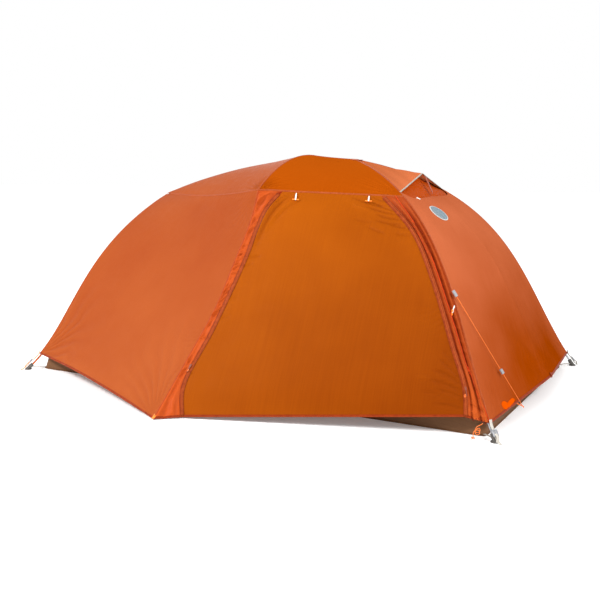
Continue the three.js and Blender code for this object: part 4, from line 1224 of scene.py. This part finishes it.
# ---- fittings ----
def repaint(node, material):
    piece = bpy.data.objects[node]
    piece.data.materials.clear()
    piece.data.materials.append(material)
    return piece


def finish_node(node, material, bevel):
    """A CAD piece whose shape is right gets soft edges and its own material."""
    edge = repaint(node, material).modifiers.new("edges", "BEVEL")
    edge.width = bevel
    edge.segments = 2
    edge.limit_method = "ANGLE"


for node, material, bevel in (
    ("head_hub", HUB, 0.0006), ("foot_hub", HUB, 0.0006), ("brow_saddle", HUB, 0.0012),
    ("guyline_anchor", FITTING, 0.0018), ("guyline_tensioner", FITTING, 0.0014),
):
    finish_node(node, material, bevel)
for cord in ("pole_set_shock_cord", "brow_shock_cord"):
    repaint(cord, WHITE_CORD)
for side_name in SIDES:
    for end in ("head", "foot"):
        for part, material, bevel in (
            ("pole_foot", FOOT, 0.0010), ("canopy_clip", FITTING, 0.0004), ("ladder_lock", FITTING, 0.0007),
            ("zip_slider", ZIP_PAINT, 0.0005), ("door_toggle", BAR, 0.0004),
        ):
            finish_node(f"{end}_{part}_{side_name}", material, bevel)


def webbing_path(name, points, width, material, across, **rest):
    """A flat strap along a few points."""
    path = paced(smooth(*[np.asarray(q, float) for q in points]), 0.005)
    return sweep(name, path, band(width, 0.0014), material, across=across, **rest)


# How far a zip pull's loop stands out, and its place across and down from the slider's end.
PULL_LOOP = ((0.010, 0, 0.002), (0.016, 0.003, -0.004), (0.020, 0, -0.010), (0.016, -0.003, -0.004))


def toggle_loop(name, top, bar, outside, body, slot="anchor_white"):
    """A flat white loop sewn at the seam, whose end goes round the toggle bar."""
    side = unit(np.cross(outside, top - bar))
    wide = side * 0.0014
    path = [
        top + wide * 0.4, (top + bar) / 2 + wide + outside * 0.002, bar + wide * 0.8 + outside * 0.003,
        bar - (top - bar) * 0.12 + outside * 0.0035, bar - wide * 0.8 + outside * 0.003,
        (top + bar) / 2 - wide + outside * 0.002, top - wide * 0.4,
    ]
    loop = paced(smooth(*path), 0.002)
    return sweep(name, loop, disc(0.0017, 8), WHITE_WEB, scale=rounded(len(loop), 2), body=body, slot=slot)


for side_name, side in SIDES.items():
    flip = (1, side, 1)
    top_start, top_end = door_top_foot * flip, door_top_head * flip
    door_top = top_end - top_start
    for end in ("foot", "head"):
        low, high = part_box(f"{end}_door_toggle_{side_name}")
        bar = (np.array(low) + np.array(high)) / 2
        seam = top_start + ((bar - top_start) @ door_top) / (door_top @ door_top) * door_top
        top, outside = (q[0] for q in on_skin([seam + 0.22 * (bar - seam)]))
        toggle_body = f"{side_name}_{end}_toggle"
        toggle_loop(f"{end}_toggle_loop_{side_name}", top + outside * 0.003, bar, outside, toggle_body)
        low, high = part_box(f"{end}_zip_slider_{side_name}")
        pull = np.array([(low[0] + high[0]) / 2, (low[1] + high[1]) / 2, low[2] + 0.003])
        _, outside = (q[0] for q in on_skin([pull]))
        loop_through(
            f"{end}_zip_pull_{side_name}", [pull + outside * out + (x, 0, z) for out, x, z in PULL_LOOP],
            0.0011, ORANGE_CORD, body=f"{side_name}_{end}_zip_slider", slot="cord_orange",
        )
    # The third toggle hangs on the head-side storm flap.
    root, outside = (q[0] for q in on_skin(surface_at(head_flap, [0.80], [0.44]) * flip))
    hang = on_skin(surface_at(head_flap, [0.50], [0.405]) * flip)[0][0] + outside * 0.007
    toggle_loop(f"strip_toggle_loop_{side_name}", root + outside * 0.002, hang, outside, TENT)
    bar = paced([hang + P(0, 0, -13), hang + P(2, 0, 13)], 0.0022)
    ends = rounded(len(bar))
    sweep(f"strip_toggle_bar_{side_name}", bar, disc(0.0032, 10), BAR, scale=ends, slot="toggle_orange")


# ---- corners and stake points ----
STRAP_WIDTH, TUB_STRAP_WIDTH, APEX_WIDTH, PULL_OUT_WIDTH, ANCHOR_TAB_WIDTH = 0.012, 0.010, 0.012, 0.016, 0.010


def corner_strap(end, side_name, corner, tip, web, slot):
    """The strap from a corner of the fly down over the pole's foot, and its loose tail."""
    out = unit((tip - corner) * (1, 1, 0))
    across = np.cross(out, (0, 0, 1))
    start = corner + out * 0.004 - P(0, 0, 2)
    over, last = tip + out * 0.018, tip + out * 0.036
    over[2], last[2] = 0.010, 0.002
    path = smooth(start + P(0, 0, 16) - out * 0.004, start, start * 0.45 + over * 0.55, over, last)
    sweep(
        f"{end}_strap_{side_name}", paced(path, 0.004), band(STRAP_WIDTH, 0.0014), web, across=across,
        slot=slot, replaces=f"{end}_corner_strap_{side_name}",
    )
    path = smooth(
        start * 0.45 + over * 0.55 + out * 0.006, start * 0.35 + over * 0.65 + out * 0.016 - P(0, 0, 6),
        start * 0.3 + over * 0.7 + out * 0.018 - P(0, 0, 20) + across * 0.006,
    )
    sweep(
        f"{end}_strap_tail_{side_name}", paced(path, 0.003), band(STRAP_WIDTH, 0.0012), web, across=across,
        slot=slot,
    )


def tub_strap(name, tub_corner, foot_at):
    """The strap from a corner of the tub to the pole's foot."""
    toward = unit((foot_at - tub_corner) * (1, 1, 0))
    path = [tub_corner - P(0, 0, 4), (tub_corner + foot_at) / 2, foot_at - toward * 0.012]
    webbing_path(name, path, TUB_STRAP_WIDTH, GREY_WEB, np.cross(toward, (0, 0, 1)), slot="webbing_grey")


for side_name, side in SIDES.items():
    flip = (1, side, 1)
    corner_strap("head", side_name, head_corner * flip, HEAD_TIP * flip, STRAP_WEB, "webbing_grey")
    corner_strap("foot", side_name, foot_corner * flip, FOOT_TIP * flip, ORANGE_WEB, "webbing_orange")
    for end, x, y, tip in (("head", FLOOR_X, HEAD_Y, HEAD_TIP), ("foot", -FLOOR_X, FOOT_Y, FOOT_TIP)):
        tub_corner = np.array((x - math.copysign(0.008, x), 0.008 - y, 0.012))
        tub_strap(f"{end}_tub_strap_{side_name}", tub_corner * flip, tip * flip + P(0, 0, 6))
    apex = APEX * flip
    away = unit(apex * (0.2, 1, 0))
    low = apex + (0, 0, 0.0035)
    webbing_path(
        f"apex_tab_{side_name}", [low - away * 0.018 + P(0, 0, 12), low + away * 0.001, low + away * 0.007],
        APEX_WIDTH, ORANGE_WEB, np.cross(away, (0, 0, 1)), slot="webbing_orange",
    )
for name, end in (("head", 1), ("foot", -1)):
    middle = P(end * HEM_REACH, 0, HEM_HEIGHT)
    path = [middle + P(-6 * end, 0, 16), middle + P(2 * end, 0, 3), middle + P(2 * end, 0, -3)]
    webbing_path(f"{name}_hem_pull_out", path, PULL_OUT_WIDTH, HEM, (0, 1, 0), slot="fly_salmon")
path = [guy_top - (guy_start - guy_top) * 0.25, (guy_top + guy_start) / 2, guy_start - guy_way * 0.004]
anchor_side = unit(np.cross(guy_way, (0, 0, 1)))
webbing_path("guyline_anchor_tab", path, ANCHOR_TAB_WIDTH, SEAM, anchor_side, slot="fly_salmon")
hem_at = on_skin([guy_end + P(-10, 0, 14)])[0][0]
path = [guy_end + P(1, -3, 1), guy_end + P(2, 0, -3), guy_end + P(1, 3, 1)]
path = [hem_at + P(0, -4, 4), *path, hem_at + P(0, 4, 4)]
loop_through("guyline_hem_loop", path, 0.0012, ORANGE_CORD, slot="cord_orange")


# ---- marks on the head wall ----
OVAL_AT, OVAL_WIDTH, OVAL_HEIGHT = P(750, -165, 780), 0.116, 0.092
OVAL_LAYERS = ((1.0, -0.0006), (1.0, 0.0010), (0.97, 0.0016), (0.9, 0.0016), (0.88, 0.0011), (0.04, 0.0011))
TAPE_LAYERS = ((1.0, -0.0004), (1.0, 0.0010), (0.96, 0.0015), (0.9, 0.0011), (0.5, 0.0011), (0.04, 0.0011))


def plain_oval():
    """A plain oval patch with a raised border, where the real tent has its mark."""
    place, normal = (q[0] for q in on_skin([OVAL_AT]))
    right = unit(np.cross((0, 0, 1), normal)) * OVAL_WIDTH / 2
    up = np.cross(normal, unit(right)) * OVAL_HEIGHT / 2
    angle = np.linspace(0, 2 * np.pi, 41)[:-1, None]
    outline = place + np.cos(angle) * right + np.sin(angle) * up
    oval = cloth_patch("plain_oval_patch", outline, place, OVAL_LAYERS, PATCH, "webbing_grey")
    oval.data.materials.append(PATCH_INSIDE)
    for polygon in oval.data.polygons:
        spot = np.array(polygon.center) - place
        polygon.material_index = int(np.hypot(spot @ right / (right @ right), spot @ up / (up @ up)) < 0.89)


plain_oval()
# A filled two-lobed patch of tape reinforces the hem beside the guyline.
outline = smooth(
    P(1158, -530, 76), P(1149, -546, 86), P(1142, -541, 99), P(1141, -524, 105), P(1145, -508, 102),
    P(1151, -500, 94), P(1153, -472, 98), P(1156, -437, 99), P(1162, -422, 91), P(1163, -446, 84),
    P(1161, -489, 79), P(1158, -529, 76),
)
outline = paced(outline, 0.006)[:-1]
cloth_patch("hem_pull_out_patch", outline, outline.mean(axis=0), TAPE_LAYERS, PULL_PATCH, "webbing_orange")


# ---- studio ----
FLOOR_REACH = 25
# Each lamp holds its place, size and power.
LAMPS = {
    "key": ((-3.0, -3.9, 3.8), 1.0, 290),
    "fill": ((4.3, -2.6, 3.4), 1.2, 190),
    "back": ((-2.2, 4.4, 3.2), 1.6, 45),
}


def add_floor():
    s = Shader("floor_paper")
    tone = s.mix(s.spread(s.noise("Object", 1.5)), (0.91, 0.91, 0.91, 1), (0.95, 0.95, 0.95, 1))
    matt = {"Base Color": tone, "Roughness": 0.9, "Emission Color": (1, 1, 1, 1), "Emission Strength": 0.15}
    paper = s.finish(s.principled(matt))
    corners = [(x * FLOOR_REACH, y * FLOOR_REACH, 0) for x, y in ((-1, -1), (1, -1), (1, 1), (-1, 1))]
    floor = make_mesh("floor", corners, [(0, 1, 2, 3)], paper, body=None)
    floor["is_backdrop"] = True


def add_light():
    world = bpy.data.worlds.new("studio")
    world.use_nodes = True
    background = world.node_tree.nodes["Background"]
    background.inputs[0].default_value = (1, 1, 1, 1)
    background.inputs[1].default_value = 1.0
    scene.world = world
    for name, (place, size, power) in LAMPS.items():
        data = bpy.data.lights.new(name, "AREA")
        data.size = size
        data.energy = power
        aim(bpy.data.objects.new(name, data), place, CAMERA_TARGET)
    scene.view_settings.view_transform = "Standard"


add_floor()
add_light()

visual_box = [list(corner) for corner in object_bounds()]
